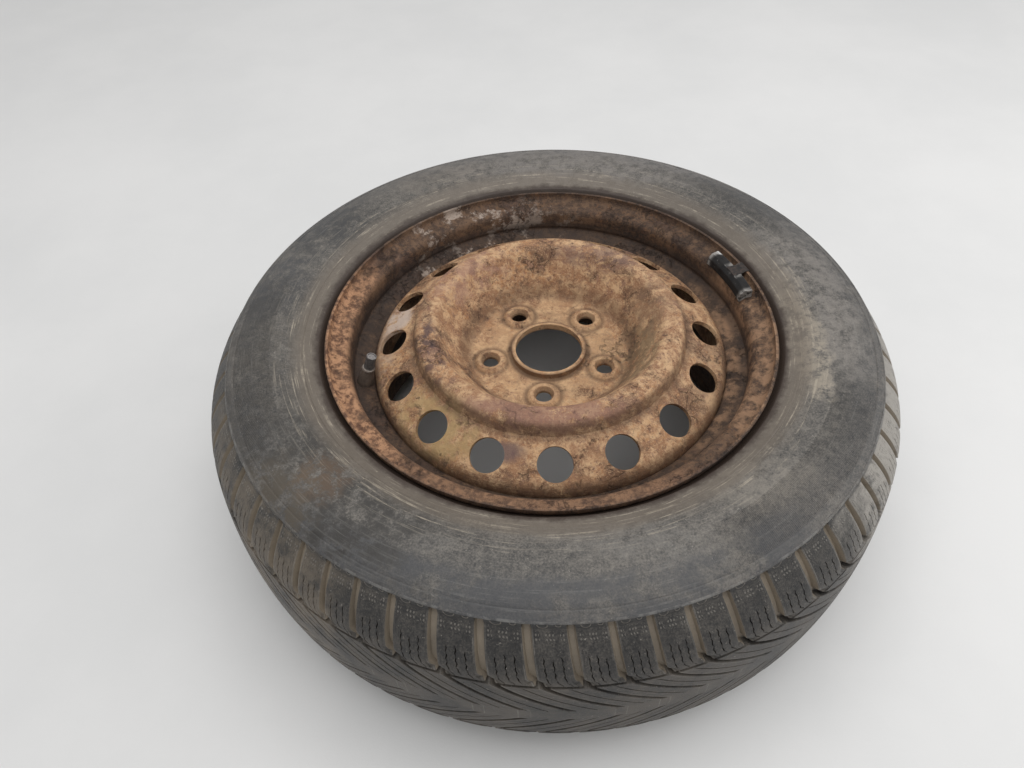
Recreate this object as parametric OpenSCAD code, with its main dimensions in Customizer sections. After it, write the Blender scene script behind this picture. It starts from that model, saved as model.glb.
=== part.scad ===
// Spare wheel: a pressed steel wheel with a winter tyre, lying flat with its outer side up.
// The wheel's axis is Z, the floor is z = 0, and all sizes are in millimetres.

/* [Tyre] */
// Diameter of the tyre over the middle of its tread
tyre_d = 649; // [644:1:656]
// Width of the tyre between its two sidewalls
tyre_w = 210; // [208:1:214]
// Radius at which the sidewalls bulge furthest
bulge_r = 254; // [250:1:258]
// Radius of the sidewall's curve at its bulge
sidewall_curve = 73; // [70:1:78]
// Radius of the curve across the tread
crown_curve = 350; // [320:10:500]
// Distance from the middle of the tread to where its rounded shoulders begin
crown_half = 46; // [42:1:50]
// Radius at which the shoulder blocks meet the sidewall
edge_r = 296; // [294:0.5:298]
// Height of the short slope between the shoulder blocks and the sidewall
edge_slope_h = 5; // [4:0.5:6]
// How much further out than its edge that slope begins
edge_slope_out = 0.8; // [0.5:0.1:1.5]
// Radius of the hollow's bend at the sidewall
side_bend_r = 60; // [50:5:70]
// Radius of the hollow's bend under the shoulder
shoulder_bend_r = 30; // [25:5:35]
// Thickness of the casing at the sidewalls
sidewall_t = 9; // [7:0.5:11]
// Thickness of the casing under the tread, with the tread
crown_t = 17; // [15:0.5:20]
// How far the lower sidewall is pressed flat where the wheel lies on it
rest_flat = 0.4; // [0.2:0.1:1]

/* [Tread] */
// Number of shoulder blocks around each side
lugs = 62; // [50:1:68]
// Turn of the first shoulder groove, in degrees
lug_turn = -127.6; // [-130:0.1:-120]
// Number of times that the blocks go from short to long around the tyre
pitch_waves = 8; // [5:1:9]
// How far a groove is shifted by that, in degrees
pitch_swing = 0.8; // [0:0.1:1]
// Turn of a place where the blocks are longest, in degrees
longest_at = -55; // [-60:1:-50]
// Depth of the tread grooves
groove_depth = 7; // [4:0.5:8]
// Width of a groove between two shoulder blocks
shoulder_gap = 7; // [4:0.5:8]
// Lean of the shoulder grooves from the wheel's axis, in degrees
shoulder_lean = 9; // [0:1:12]
// Width of the slanted grooves in the middle of the tread
slant_gap = 4.5; // [3:0.5:6]
// Slant of those grooves from the wheel's axis, in degrees
slant_lean = 61; // [50:1:63]
// Width of the rib that is left uncut in the middle of the tread
middle_rib_w = 16; // [12:1:20]
// Distance from the middle of the tread to the groove that runs around
ring_groove_at = 46; // [44:1:52]
// Width of the groove that runs around
ring_groove_w = 2.5; // [2:0.5:5]

/* [Rim] */
// Diameter of the bead seats at the flanges
bead_seat_d = 380.2; // [379.8:0.1:380.6]
// Width of the rim between its flanges
rim_w = 165.1; // [162:0.1:167]
// Height of a flange above its bead seat
flange_h = 17.3; // [16.8:0.1:17.8]
// Width of a flange, from its bead side to its lip
flange_w = 12; // [11:0.1:13]
// Thickness of the rim's sheet
rim_t = 2.6; // [2.2:0.1:3]
// Radius of the flange's curl on the bead side
curl_r = 9.5; // [9:0.1:10]
// Radius between a flange and its bead seat on the bead side
heel_r = 6.5; // [5.5:0.1:7]
// Slope of the bead seats, in degrees
seat_slope = 5; // [4:0.5:6]
// Width of a bead seat, from its flange to the safety hump
seat_w = 21; // [20:0.5:22]
// Height of the safety hump
hump_h = 1.1; // [0.6:0.1:1.4]
// Depth of the drop well below the bead seat diameter
well_depth = 19.5; // [19.2:0.1:20]
// Width of the drop well's floor
well_w = 44; // [40:1:48]
// Radius of the rim's inner ledge, in the middle of its sheet
ledge_r = 182; // [180:0.5:184]
// Width of the slope from the well's floor up to that ledge
ledge_slope_w = 26; // [22:1:30]
// Running clearance between the tyre's beads and the rim
bead_gap = 0.1; // [0.05:0.05:0.3]

/* [Disc] */
// Thickness of the disc's sheet
disc_t = 3.8; // [3.2:0.1:4.4]
// Distance from the middle of the rim to the face that meets the hub
offset_et = 50; // [46:0.5:54]
// Diameter of the centre bore
bore_d = 64.1; // [60:0.1:67]
// Height of the turned-up lip around the bore, from the hub face
bore_lip_h = 9.5; // [8:0.1:12]
// Radius of the flat hub plate, out to where the bowl rises
plate_r = 77; // [74:0.5:80]
// Height of the crown above the hub plate
crown_h = 43; // [39:0.5:44]
// Radius of the crown's inner edge
crown_in_r = 107; // [104:0.5:110]
// Width of the crown's flat top
crown_w = 15.5; // [14:0.5:17]
// Width of the step outside the crown, seen from above
step_w = 4; // [3.5:0.5:5]
// Depth of the step outside the crown
step_h = 13; // [10:0.5:15]
// Slope of the ring that carries the vent holes, in degrees
vent_slope = 27; // [22:1:30]
// Length of the flange that is welded into the rim, below the place where the disc's edge turns down
weld_flange_h = 37; // [30:1:40]
// Clearance between the disc's flange and the rim's well
disc_fit = 0.05; // [0.02:0.01:0.1]

/* [Vent holes] */
// Number of vent holes
vents = 16; // [8:1:16]
// Diameter of a vent hole
vent_d = 30.5; // [24:0.5:32]
// Radius of the circle of vent holes
vent_circle_r = 147.7; // [146:0.1:149]
// Turn of the first vent hole, in degrees
vent_turn = -87.9; // [-90:0.1:0]

/* [Bolt holes] */
// Number of bolt holes
bolts = 5; // [4:1:6]
// Diameter of the bolt circle
bolt_circle_d = 114.3; // [108:0.1:118]
// Diameter of a bolt hole
bolt_d = 14.5; // [13:0.1:15]
// Turn of the first bolt hole, in degrees
bolt_turn = -94.5; // [-108:0.1:0]
// Diameter of a conical seat at its mouth
seat_d = 19.2; // [18:0.1:21]
// Angle of a conical seat, in degrees
seat_angle = 60; // [58:1:62]
// Height of the raised boss around a seat
boss_h = 2.8; // [2:0.1:3.4]
// Diameter of a boss at its foot
boss_d = 33; // [30:0.5:35]

/* [Welds] */
// Number of weld runs between the disc and the rim
welds = 8; // [4:1:10]
// Length of a weld run, in degrees
weld_arc = 20; // [10:1:30]
// Leg of the weld's triangle
weld_leg = 5; // [4:0.5:6]
// Clearance around a weld
weld_fit = 0.05; // [0.02:0.01:0.1]

/* [Balance weight] */
// Turn of the middle of the weight, in degrees
weight_turn = 21.5; // [10:0.5:60]
// Length of the weight along the flange
weight_len = 62; // [50:1:70]
// Radial thickness of the weight
weight_t = 11; // [10:0.1:12]
// Clearance between the weight and the flange
weight_fit = 0.3; // [0.2:0.05:0.4]
// Width of the spring clip along the flange
clip_w = 14; // [10:1:18]
// Thickness of the spring clip
clip_t = 0.9; // [0.7:0.1:1.1]
// Length of the clip's hook outside the flange's lip
clip_hook = 5; // [4:0.5:6]

/* [Valve] */
// Turn of the valve around the wheel, in degrees
valve_turn = -166; // [-180:1:-150]
// Tilt of the valve and of the well's wall that holds it, in degrees
valve_tilt = 20; // [15:0.5:22]
// Diameter of the valve hole in the rim
valve_hole_d = 11.5; // [11.3:0.1:12]
// Diameter of the rubber body where it lies on the rim
valve_foot_d = 14.6; // [14:0.1:14.6]
// Diameter of the rubber body at its upper end
collar_d = 11.7; // [11:0.1:12.5]
// Height of the rubber body above the rim
body_h = 20; // [18:0.5:22]
// Length of the rubber body inside the tyre
bulb_h = 12; // [10:0.5:14]
// Diameter of the bulb inside the tyre
bulb_d = 13.8; // [13.2:0.1:14.2]
// Outside diameter of the stem's thread
stem_d = 7.7; // [7.6:0.05:7.8]
// Length of bare stem above the rubber
stem_out = 10.5; // [10:0.5:12]
// Diameter of the stem's bore at the valve core
stem_bore_d = 5.3; // [5.2:0.05:5.4]
// Diameter of the air passage under the core
air_d = 3.2; // [3:0.1:3.6]
// Clearance between pieces that are pressed, screwed or moulded together
valve_fit = 0.03; // [0.02:0.01:0.05]
// Gap between the rubber body and the faces of the rim, which are slightly hollow there
valve_foot_gap = 0.1; // [0.08:0.01:0.2]

/* [Valve core] */
// Height of the core's screw
plug_h = 5; // [4.5:0.1:5.5]
// Depth of the screw's top below the stem's end
plug_depth = 0.8; // [0.6:0.1:1.2]
// Thickness of the tongue at the screw's top, which a valve key grips
plug_tongue_w = 3.4; // [3.2:0.1:3.8]
// Height of that tongue
plug_tongue_h = 2.4; // [2:0.1:2.8]
// Length of the core's barrel below the screw
barrel_h = 11; // [10:0.5:12]
// Outside diameter of the barrel
barrel_d = 4.2; // [4.1:0.1:4.3]
// Wall of the barrel
barrel_wall = 0.45; // [0.4:0.05:0.5]
// Diameter of the pin
pin_d = 1.2; // [1.1:0.05:1.3]
// Diameter of the collar that the spring pushes on
pin_collar_d = 2.8; // [2.6:0.1:2.9]
// Running clearance of the pin in its holes
pin_fit = 0.08; // [0.05:0.01:0.1]
// Travel of the pin when it is pressed
pin_travel = 1.2; // [1:0.1:1.4]
// Wire diameter of the core's spring
wire_d = 0.3; // [0.25:0.05:0.35]
// Number of turns of the core's spring
spring_turns = 7; // [6:1:8]
// Diameter of the cup that carries the seal
cup_d = 3.9; // [3.8:0.1:4]
// Height of that cup
cup_h = 1.6; // [1.4:0.1:1.8]

/* [Valve cap] */
// Outside diameter of the cap
cap_d = 9.8; // [9.6:0.1:10.2]
// Gap between the cap and the rubber body when the cap is screwed on
cap_gap = 0.3; // [0.2:0.1:1]
// Thickness of the cap's roof
cap_roof = 1.6; // [1.4:0.1:2]
// Depth of the recess in the cap's top
cap_recess = 1; // [0.8:0.1:1.2]
// Width of the rim around that recess
cap_rim = 1.2; // [1:0.1:1.4]
// Number of ribs around the cap
cap_ribs = 24; // [16:1:28]
// Radius of the hollow between two ribs
cap_flute_r = 0.35; // [0.3:0.05:0.4]
// Thickness of the rubber disc inside the cap
cap_gasket_t = 0.9; // [0.8:0.1:1]

/* [Hidden] */
$fn = 180;
// Fine enough for the small parts of the valve
small_fn = 48;
// Height of the middle of the tyre and of the rim above the floor
mid_z = tyre_w / 2 - rest_flat;
seat_r = bead_seat_d / 2;
half_rim = rim_w / 2;
crest = half_rim + flange_w;
lip_r = seat_r + flange_h;
well_r = seat_r - well_depth;
// More than any piece's thickness, for cuts that run right through
past = 30;

// Unit vector along v
function unit(v) = v / norm(v);

// Points of the arc that rounds the corner b, between a and c, with the radius r
function corner(a, b, c, r, steps) =
    let (u = unit(a - b), v = unit(c - b))
    let (half = acos(u * v) / 2, turn = 180 - 2 * half)
    let (middle = b + unit(u + v) * r / sin(half))
    let (from = b + u * r / tan(half) - middle, to = b + v * r / tan(half) - middle)
    [for (i = [0:steps])
        middle + (from * sin(turn * (1 - i / steps)) + to * sin(turn * i / steps)) / sin(turn)];

function flat(p) = [p[0], p[1]];

// Open line of corners [radius, height, corner radius], with the corners rounded
function bent(line, steps = 6) = [
    for (i = [0:len(line) - 1])
        let (p = line[i])
        each (i == 0 || i == len(line) - 1 || p[2] == 0)
            ? [flat(p)]
            : corner(flat(line[i - 1]), flat(p), flat(line[i + 1]), p[2], steps)
];

// Closed outline of such corners
function rounded(line, steps = 6) = [
    for (i = [0:len(line) - 1])
        let (p = line[i], n = len(line))
        each (p[2] == 0)
            ? [flat(p)]
            : corner(flat(line[(i + n - 1) % n]), flat(p), flat(line[(i + 1) % n]), p[2], steps)
];

// Direction square to the line at its point i, long enough to keep a sheet's thickness at a bend
function square_to(line, i) =
    let (last = len(line) - 1)
    let (before = unit(line[max(i, 1)] - line[max(i, 1) - 1]))
    let (after = unit(line[min(i, last - 1) + 1] - line[min(i, last - 1)]))
    let (n = unit([-before[1] - after[1], before[0] + after[0]]))
    n / (n * [-before[1], before[0]]);

// Outline of a sheet of thickness t whose middle follows the line
function sheet(line, t) = concat(
    [for (i = [0:len(line) - 1]) line[i] + square_to(line, i) * t / 2],
    [for (i = [len(line) - 1:-1:0]) line[i] - square_to(line, i) * t / 2]
);

// The same corners on the other side of the wheel's middle, in reverse order
function other_side(line) = [for (i = [len(line) - 1:-1:0]) [line[i][0], -line[i][1], line[i][2]]];

// Height of the sidewall's surface at the radius r: it is a shallow curve with its bulge at bulge_r
function side_h(r, bulge) = bulge - (r - bulge_r) * (r - bulge_r) / (2 * sidewall_curve);

// Where the blocks end, and the radius of the shoulders' curve that leads there
edge_h = side_h(edge_r, tyre_w / 2);
block_top_h = edge_h - edge_slope_h;
shoulder_fall = tyre_d / 2 - edge_r - edge_slope_out - block_top_h * block_top_h / (2 * crown_curve);
shoulder_curve = (block_top_h - crown_half) * (block_top_h - crown_half) / (2 * shoulder_fall);

// Radius of the tread's surface at the height h from the middle: a flat curve, rounder at the shoulders
function tread_r(h) =
    let (past_crown = max(0, abs(h) - crown_half))
    tyre_d / 2 - h * h / (2 * crown_curve) - past_crown * past_crown / (2 * shoulder_curve);

// Turns and moves its children from the wheel's own frame to the floor
module on_floor() {
    translate([0, 0, mid_z]) children();
}

// Corners of half the rim's middle line, from the flange's lip to the hump
rim_mid_seat = seat_r - rim_t / 2;
rim_face = half_rim + rim_t / 2;
rim_lip = lip_r - rim_t / 2;
hump_at = half_rim - seat_w;
function seat_fall(h) = (half_rim - h) * tan(seat_slope);
rim_half = [
    [rim_lip, crest, 0],
    [rim_lip, rim_face, curl_r - rim_t / 2],
    [rim_mid_seat, rim_face, heel_r + rim_t / 2],
    [rim_mid_seat - seat_fall(hump_at + 3), hump_at + 3, 4],
    [rim_mid_seat - seat_fall(hump_at) + hump_h, hump_at, 3]
];
// The well's outer wall starts below the hump, has small bends and holds the valve
wall_top = hump_at - 2.6;
wall_top_r = rim_mid_seat - seat_fall(wall_top);
wall_bend_r = rim_t / 2 + 1.2;
well_mid_r = well_r - rim_t / 2;
wall_foot = wall_top - (wall_top_r - well_mid_r) * tan(valve_tilt);
well_end = wall_foot - well_w;
rim_line = bent(concat(
    rim_half,
    [[wall_top_r, wall_top, wall_bend_r], [well_mid_r, wall_foot, wall_bend_r]],
    [[well_mid_r, well_end, 14], [ledge_r, well_end - ledge_slope_w, 14]],
    [[wall_top_r, -wall_top, 6]],
    other_side(rim_half)
));

// Place of the valve: the middle of the well's outer wall
valve_r = (wall_top_r + well_mid_r) / 2;
valve_h = (wall_top + wall_foot) / 2;

// Puts its children on the valve's own axis, with z = 0 on the middle of the rim's sheet
module at_valve() {
    on_floor() rotate([0, 0, valve_turn]) translate([valve_r, 0, valve_h])
        rotate([0, -valve_tilt, 0]) children();
}

// Roll-formed steel hoop with two flanges, bead seats, humps and a drop well
module rim() {
    color("#6b4a36") difference() {
        on_floor() rotate_extrude() polygon(sheet(rim_line, rim_t));
        at_valve() cylinder(h = past, d = valve_hole_d, center = true);
    }
}

// Middle line of the disc, from the bore's lip to the edge of the flange in the rim
plate_mid = offset_et + disc_t / 2;
crown_mid = plate_mid + crown_h;
disc_in = bore_d / 2 + disc_t / 2;
disc_out = well_r - rim_t - disc_fit - disc_t / 2;
crown_out_r = crown_in_r + crown_w;
foot_r = crown_out_r + step_w;
disc_foot = crown_mid - step_h;
disc_edge = disc_foot - (disc_out - foot_r) * tan(vent_slope);
disc_end = disc_edge - weld_flange_h;
disc_line = bent([
    [disc_in, offset_et + bore_lip_h, 0],
    [disc_in, plate_mid, 2.6],
    [plate_r, plate_mid, 14],
    [crown_in_r, crown_mid, 6],
    [crown_out_r, crown_mid, 5.5],
    [foot_r, disc_foot, 3],
    [disc_out, disc_edge, 14],
    [disc_out, disc_end, 0]
]);
// Height of the vent holes' ring at their circle
vent_h = disc_foot - (vent_circle_r - foot_r) * tan(vent_slope);
plate_top = offset_et + disc_t;
seat_h = (seat_d - bolt_d) / 2 / tan(seat_angle / 2);
// How much narrower a boss is at its top than at its foot, and how far it is sunk into the plate
boss_taper = 8;
boss_sink = 0.5;

// Pressed steel centre of the wheel
module disc() {
    color("#a8683c") on_floor() difference() {
        union() {
            rotate_extrude() polygon(sheet(disc_line, disc_t));
            for (i = [0:bolts - 1]) rotate([0, 0, bolt_turn + i * 360 / bolts])
                translate([bolt_circle_d / 2, 0, plate_top - boss_sink])
                    cylinder(h = boss_h + boss_sink, d1 = boss_d, d2 = boss_d - boss_taper, $fn = 72);
        }
        for (i = [0:bolts - 1]) rotate([0, 0, bolt_turn + i * 360 / bolts])
            translate([bolt_circle_d / 2, 0, 0]) bolt_hole();
        for (i = [0:vents - 1]) rotate([0, 0, vent_turn + i * 360 / vents])
            translate([vent_circle_r, 0, vent_h]) rotate([0, vent_slope, 0])
                cylinder(h = past, d = vent_d, center = true, $fn = 72);
    }
}

// One bolt hole with the conical seat for its nut
module bolt_hole() {
    translate([0, 0, offset_et - past / 2]) cylinder(h = past, d = bolt_d, $fn = 72);
    translate([0, 0, plate_top + boss_h - seat_h])
        cylinder(h = seat_h + 0.01, d1 = bolt_d, d2 = seat_d, $fn = 72);
}

// Arc welds between the disc's flange and the rim's well
module disc_welds() {
    weld_out = well_r - rim_t - weld_fit;
    weld_top = disc_end - weld_fit;
    color("#5c3d2b") on_floor() for (i = [0:welds - 1]) rotate([0, 0, (i + 0.5) * 360 / welds])
        rotate_extrude(angle = weld_arc)
            polygon([
                [weld_out, weld_top],
                [weld_out - weld_leg * 0.7, weld_top],
                [weld_out - weld_leg * 0.55, weld_top - weld_leg * 0.55],
                [weld_out, weld_top - weld_leg]
            ]);
}

// The weight lies in the hollow of the outer flange: its lower face, top, outer side and inner side
weight_in = half_rim + rim_t + weight_fit;
weight_top = crest - 0.4;
weight_out_r = lip_r - curl_r + 1.3;
weight_in_r = weight_out_r - weight_t;
weight_angle = weight_len / seat_r * 180 / PI;
// Start of the clip's tongue, and the room around the clip in the groove that it lies in
tongue_r = weight_in_r + 2.8;
clip_room = 0.3;

// Lead bar with a groove across its top for the clip
module balance_weight() {
    color("#3a3a3c") on_floor() rotate([0, 0, weight_turn - weight_angle / 2]) difference() {
        rotate_extrude(angle = weight_angle)
            polygon(rounded([
                [weight_out_r, weight_in, 0.8],
                [weight_out_r - 6, weight_in, 1.5],
                [weight_in_r, weight_in - 4, 1.2],
                [weight_in_r - 2, weight_in - 2, 1.2],
                [weight_in_r - 1, weight_top - 3.6, 2.5],
                [weight_in_r + 3, weight_top, 2],
                [weight_out_r, weight_top, 1]
            ], 4));
        rotate([0, 0, (weight_angle - groove_angle) / 2])
            rotate_extrude(angle = groove_angle)
                polygon([
                    [tongue_r - clip_room, weight_top - clip_t],
                    [weight_out_r + past, weight_top - clip_t],
                    [weight_out_r + past, weight_top + past],
                    [tongue_r - clip_room, weight_top + past]
                ]);
    }
}

// Spring clip from the bar over the flange's lip
clip_angle = clip_w / lip_r * 180 / PI;
groove_angle = clip_angle + clip_room * 2 / weight_out_r * 180 / PI;
clip_fit = 0.1;
clip_low = weight_top - clip_t / 2 + 0.02;
clip_high = crest + clip_t / 2 + clip_fit;
clip_out_r = lip_r + clip_t / 2 + clip_fit;
module weight_clip() {
    clip_line = bent([
        [tongue_r, clip_low, 0],
        [weight_out_r + 2, clip_low, 2],
        [weight_out_r + 4.4, clip_high, 2],
        [clip_out_r, clip_high, 0.8],
        [clip_out_r, clip_high - clip_hook, 0]
    ], 4);
    color("#8d8578") on_floor() rotate([0, 0, weight_turn - clip_angle / 2])
        rotate_extrude(angle = clip_angle) polygon(sheet(clip_line, clip_t));
}

// Outline of the tyre's upper half, from the toe of its bead out to the tread's edge
toe_h = hump_at + 4;
function tyre_outer_half(bulge) = concat(
    bent([
        [seat_r + bead_gap - seat_fall(toe_h), toe_h, 0],
        [seat_r + bead_gap, half_rim - bead_gap, heel_r],
        [lip_r - curl_r + 4, half_rim - bead_gap, 8],
        [lip_r + 2, half_rim + 6, 3],
        [lip_r + 5.5, crest + 0.5, 2],
        [lip_r + 11, side_h(lip_r + 11, bulge), 4],
        [lip_r + 14, side_h(lip_r + 14, bulge), 0]
    ], 4),
    [for (r = [lip_r + 20:7:edge_r - 4]) [r, side_h(r, bulge)]],
    bent([
        [edge_r - 3, side_h(edge_r - 3, bulge), 0],
        [edge_r, edge_h, 1.5],
        [tread_r(block_top_h), block_top_h, 0]
    ], 3)
);
tread_step = block_top_h / 12;
// Corner of the hollow under the shoulder: how far it lies inside the hollow's crown and below the blocks
hollow_inset = 6;
hollow_drop = 18;
function mirrored(points) = [for (i = [len(points) - 1:-1:0]) [points[i][0], -points[i][1]]];

// Outline of the tyre's hollow, one casing thickness inside the outer surface
function tyre_hollow(bulge) = bent([
    [seat_r - seat_fall(toe_h) + 1, toe_h - 1, 0],
    [seat_r + 16, half_rim - 8, 16],
    [bulge_r - 4, bulge - sidewall_t, side_bend_r],
    [tyre_d / 2 - crown_t - hollow_inset, block_top_h - hollow_drop, shoulder_bend_r],
    [tyre_d / 2 - crown_t, 0, 0]
], 6);

// Winter tyre, hollow and open between its beads, with the main grooves of its tread
module tyre() {
    bulge = tyre_w / 2;
    upper = tyre_outer_half(bulge);
    hollow = tyre_hollow(bulge);
    color("#3b3935") difference() {
        on_floor() rotate_extrude() polygon(concat(
            upper,
            [for (h = [tread_step * 11:-tread_step:-tread_step * 11]) [tread_r(h), h]],
            mirrored(upper),
            [for (i = [0:len(hollow) - 1]) [hollow[i][0], -hollow[i][1]]],
            [for (i = [len(hollow) - 2:-1:0]) hollow[i]]
        ));
        rest_cut();
        on_floor() tread_grooves();
    }
}

// Ring below the floor that cuts the lower sidewall flat
module rest_cut() {
    translate([0, 0, -past]) difference() {
        cylinder(h = past, r = bulge_r + past);
        cylinder(h = past * 3, r = bulge_r - past, center = true);
    }
}

// Turn of the shoulder groove i: the blocks vary in length, as on a tyre made to run quietly
function groove_turn(i) =
    let (even = lug_turn + i * 360 / lugs)
    even + pitch_swing * sin(pitch_waves * (even - longest_at));

// All the grooves of the tread
module tread_grooves() {
    for (side = [-1, 1]) mirror([0, 0, side < 0 ? 1 : 0]) {
        rotate_extrude() polygon([
            [tread_r(ring_groove_at) - groove_depth, ring_groove_at - ring_groove_w / 2],
            [tyre_d, ring_groove_at - ring_groove_w / 2],
            [tyre_d, ring_groove_at + ring_groove_w / 2],
            [tread_r(ring_groove_at) - groove_depth, ring_groove_at + ring_groove_w / 2]
        ]);
        for (i = [0:lugs - 1]) rotate([0, 0, groove_turn(i)]) {
            shoulder_groove();
            slant_groove();
        }
    }
}

// Groove between two shoulder blocks, which gets shallow near the sidewall
module shoulder_groove() {
    steps = 4;
    rise = (edge_h - ring_groove_at) / steps;
    function floor_r(i) = tread_r(ring_groove_at + i * rise) - groove_depth * (1 - i / steps / 2);
    translate([0, 0, ring_groove_at]) rotate([shoulder_lean, 0, 0]) rotate([90, 0, 0])
        linear_extrude(shoulder_gap, center = true) polygon(concat(
            [for (i = [0:steps - 1]) [floor_r(i), i * rise]],
            [[edge_r - 1, rise * steps], [edge_r - 1, edge_h], [tyre_d, edge_h], [tyre_d, 0]]
        ));
}

// Slanted groove from the ring groove to the rib in the middle of the tread, in two straight stretches
module slant_groove() {
    reach = (ring_groove_at - middle_rib_w / 2) / 2;
    shift = reach * tan(slant_lean);
    for (stretch = [0, 1])
        rotate([0, 0, (stretch + 0.5) * shift / (tyre_d / 2) * 180 / PI])
            translate([tyre_d / 2 - groove_depth + past / 2, 0, ring_groove_at - (stretch + 0.5) * reach])
                rotate([slant_lean, 0, 0])
                    cube([past, slant_gap, reach / cos(slant_lean) + slant_gap], center = true);
}

// Rubber body of the snap-in valve, moulded round the stem and squeezed through the hole
stem_top = rim_t / 2 + body_h + stem_out;
stem_low = -rim_t / 2 - bulb_h;
stem_in_rubber_d = 6.6;
module valve_body() {
    neck_r = valve_hole_d / 2 - valve_fit;
    foot = rim_t / 2 + valve_foot_gap;
    color("#2c2a28") at_valve() rotate_extrude($fn = small_fn) polygon(rounded([
        [stem_in_rubber_d / 2 + valve_fit, stem_low, 0],
        [bulb_d / 2 - 2.6, stem_low, 0.8],
        [bulb_d / 2, -foot - 2, 1],
        [bulb_d / 2, -foot, 0],
        [neck_r, -foot, 0],
        [neck_r, foot, 0],
        [valve_foot_d / 2, foot, 0],
        [valve_foot_d / 2, foot + 2.4, 1.2],
        [collar_d / 2 + 0.7, foot + 9, 4],
        [collar_d / 2 - 0.5, rim_t / 2 + body_h - 2.2, 2],
        [collar_d / 2, rim_t / 2 + body_h - 1.8, 0.2],
        [collar_d / 2, rim_t / 2 + body_h, 0.4],
        [stem_in_rubber_d / 2 + valve_fit, rim_t / 2 + body_h, 0]
    ], 4));
}

// Heights of the valve core's pieces along the valve
plug_top = stem_top - plug_depth;
plug_low = plug_top - plug_h;
barrel_low = plug_low - barrel_h;
gasket_h = 2;
seat_low = plug_low - gasket_h - 1.2;
barrel_in_d = barrel_d - barrel_wall * 2;
pin_hole_d = pin_d + pin_fit * 2;
barrel_floor = 0.6;
seal_h = 0.7;
cup_low = barrel_low - cup_h;

// Brass stem, wider and threaded where it leaves the rubber
module valve_stem() {
    color("#b08d4a") at_valve() difference() {
        rotate_extrude($fn = small_fn) polygon([
            [0, stem_low + 1],
            [stem_in_rubber_d / 2, stem_low + 1],
            [stem_in_rubber_d / 2, rim_t / 2 + body_h + 0.1],
            [stem_d / 2, rim_t / 2 + body_h + 0.6],
            [stem_d / 2, stem_top - 0.6],
            [stem_d / 2 - 0.6, stem_top],
            [0, stem_top]
        ]);
        rotate_extrude($fn = small_fn) polygon([
            [0, stem_top + 1],
            [stem_bore_d / 2 + 0.3, stem_top + 1],
            [stem_bore_d / 2, stem_top - 0.3],
            [stem_bore_d / 2, seat_low + gasket_h],
            [barrel_d / 2 + 0.25, seat_low],
            [barrel_d / 2 + 0.25, cup_low - pin_travel - 1.5],
            [air_d / 2, cup_low - pin_travel - 2.5],
            [air_d / 2, stem_low],
            [0, stem_low]
        ]);
    }
}

// Brass screw with a tongue at its top, which holds the core in the stem
module core_plug() {
    color("#c2a25c") at_valve() difference() {
        translate([0, 0, plug_low]) cylinder(h = plug_h, d = stem_bore_d - valve_fit * 2, $fn = small_fn);
        translate([0, 0, plug_low - 1]) cylinder(h = plug_h + 2, d = pin_d + 1, $fn = small_fn);
        for (side = [-1, 1]) translate([0, side * stem_bore_d / 2, plug_top])
            cube([stem_bore_d * 2, stem_bore_d - plug_tongue_w, plug_tongue_h * 2], center = true);
    }
}

// Brass tube of the core, with a floor that the pin passes through
module core_barrel() {
    color("#c9ac68") at_valve() difference() {
        translate([0, 0, barrel_low]) cylinder(h = barrel_h - valve_fit, d = barrel_d, $fn = small_fn);
        translate([0, 0, barrel_low + barrel_floor]) cylinder(h = barrel_h, d = barrel_in_d, $fn = small_fn);
        translate([0, 0, barrel_low - 1]) cylinder(h = barrel_h, d = pin_hole_d, $fn = small_fn);
    }
}

// Tapered ring that seals the barrel against the stem's seat
module core_gasket() {
    color("#b23a2e") at_valve() rotate_extrude($fn = small_fn) polygon([
        [barrel_d / 2 + valve_fit, seat_low + 0.1],
        [barrel_d / 2 + 0.2, seat_low + 0.1],
        [stem_bore_d / 2 - 0.1, seat_low + gasket_h],
        [stem_bore_d / 2 - 0.1, seat_low + gasket_h + 0.9],
        [barrel_d / 2 + valve_fit, seat_low + gasket_h + 0.9]
    ]);
}

// Steel pin with the collar that the spring pushes up
pin_top = stem_top - 0.2;
collar_top = plug_low - 0.4;
collar_low = collar_top - 0.8;
module core_pin() {
    color("#9a9a96") at_valve() {
        translate([0, 0, cup_low - 0.4]) cylinder(h = pin_top - cup_low + 0.4, d = pin_d, $fn = small_fn);
        translate([0, 0, collar_low]) cylinder(h = collar_top - collar_low, d = pin_collar_d, $fn = small_fn);
    }
}

// Spring between the barrel's floor and the pin's collar, as a wire swept along its turns
spring_low = barrel_low + barrel_floor + 0.02;
spring_high = collar_low - 0.02;
spring_r = (pin_d + pin_fit * 2 + wire_d) / 2 + 0.25;
wire_sides = 6;
turn_steps = 12;
function spring_points() =
    let (steps = spring_turns * turn_steps, rise = spring_high - spring_low - wire_d)
    [for (i = [0:steps], j = [0:wire_sides - 1])
        let (a = i * 360 / turn_steps, b = j * 360 / wire_sides, r = spring_r + wire_d / 2 * cos(b))
        [r * cos(a), r * sin(a), spring_low + wire_d / 2 + rise * i / steps + wire_d / 2 * sin(b)]];
function spring_faces() =
    let (steps = spring_turns * turn_steps, n = wire_sides)
    concat(
        [[for (j = [0:n - 1]) j]],
        [for (i = [0:steps - 1], j = [0:n - 1])
            [i * n + j, (i + 1) * n + j, (i + 1) * n + (j + 1) % n, i * n + (j + 1) % n]],
        [[for (j = [n - 1:-1:0]) steps * n + j]]
    );
module core_spring() {
    color("#8f9296") at_valve() polyhedron(spring_points(), spring_faces(), convexity = 10);
}

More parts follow.
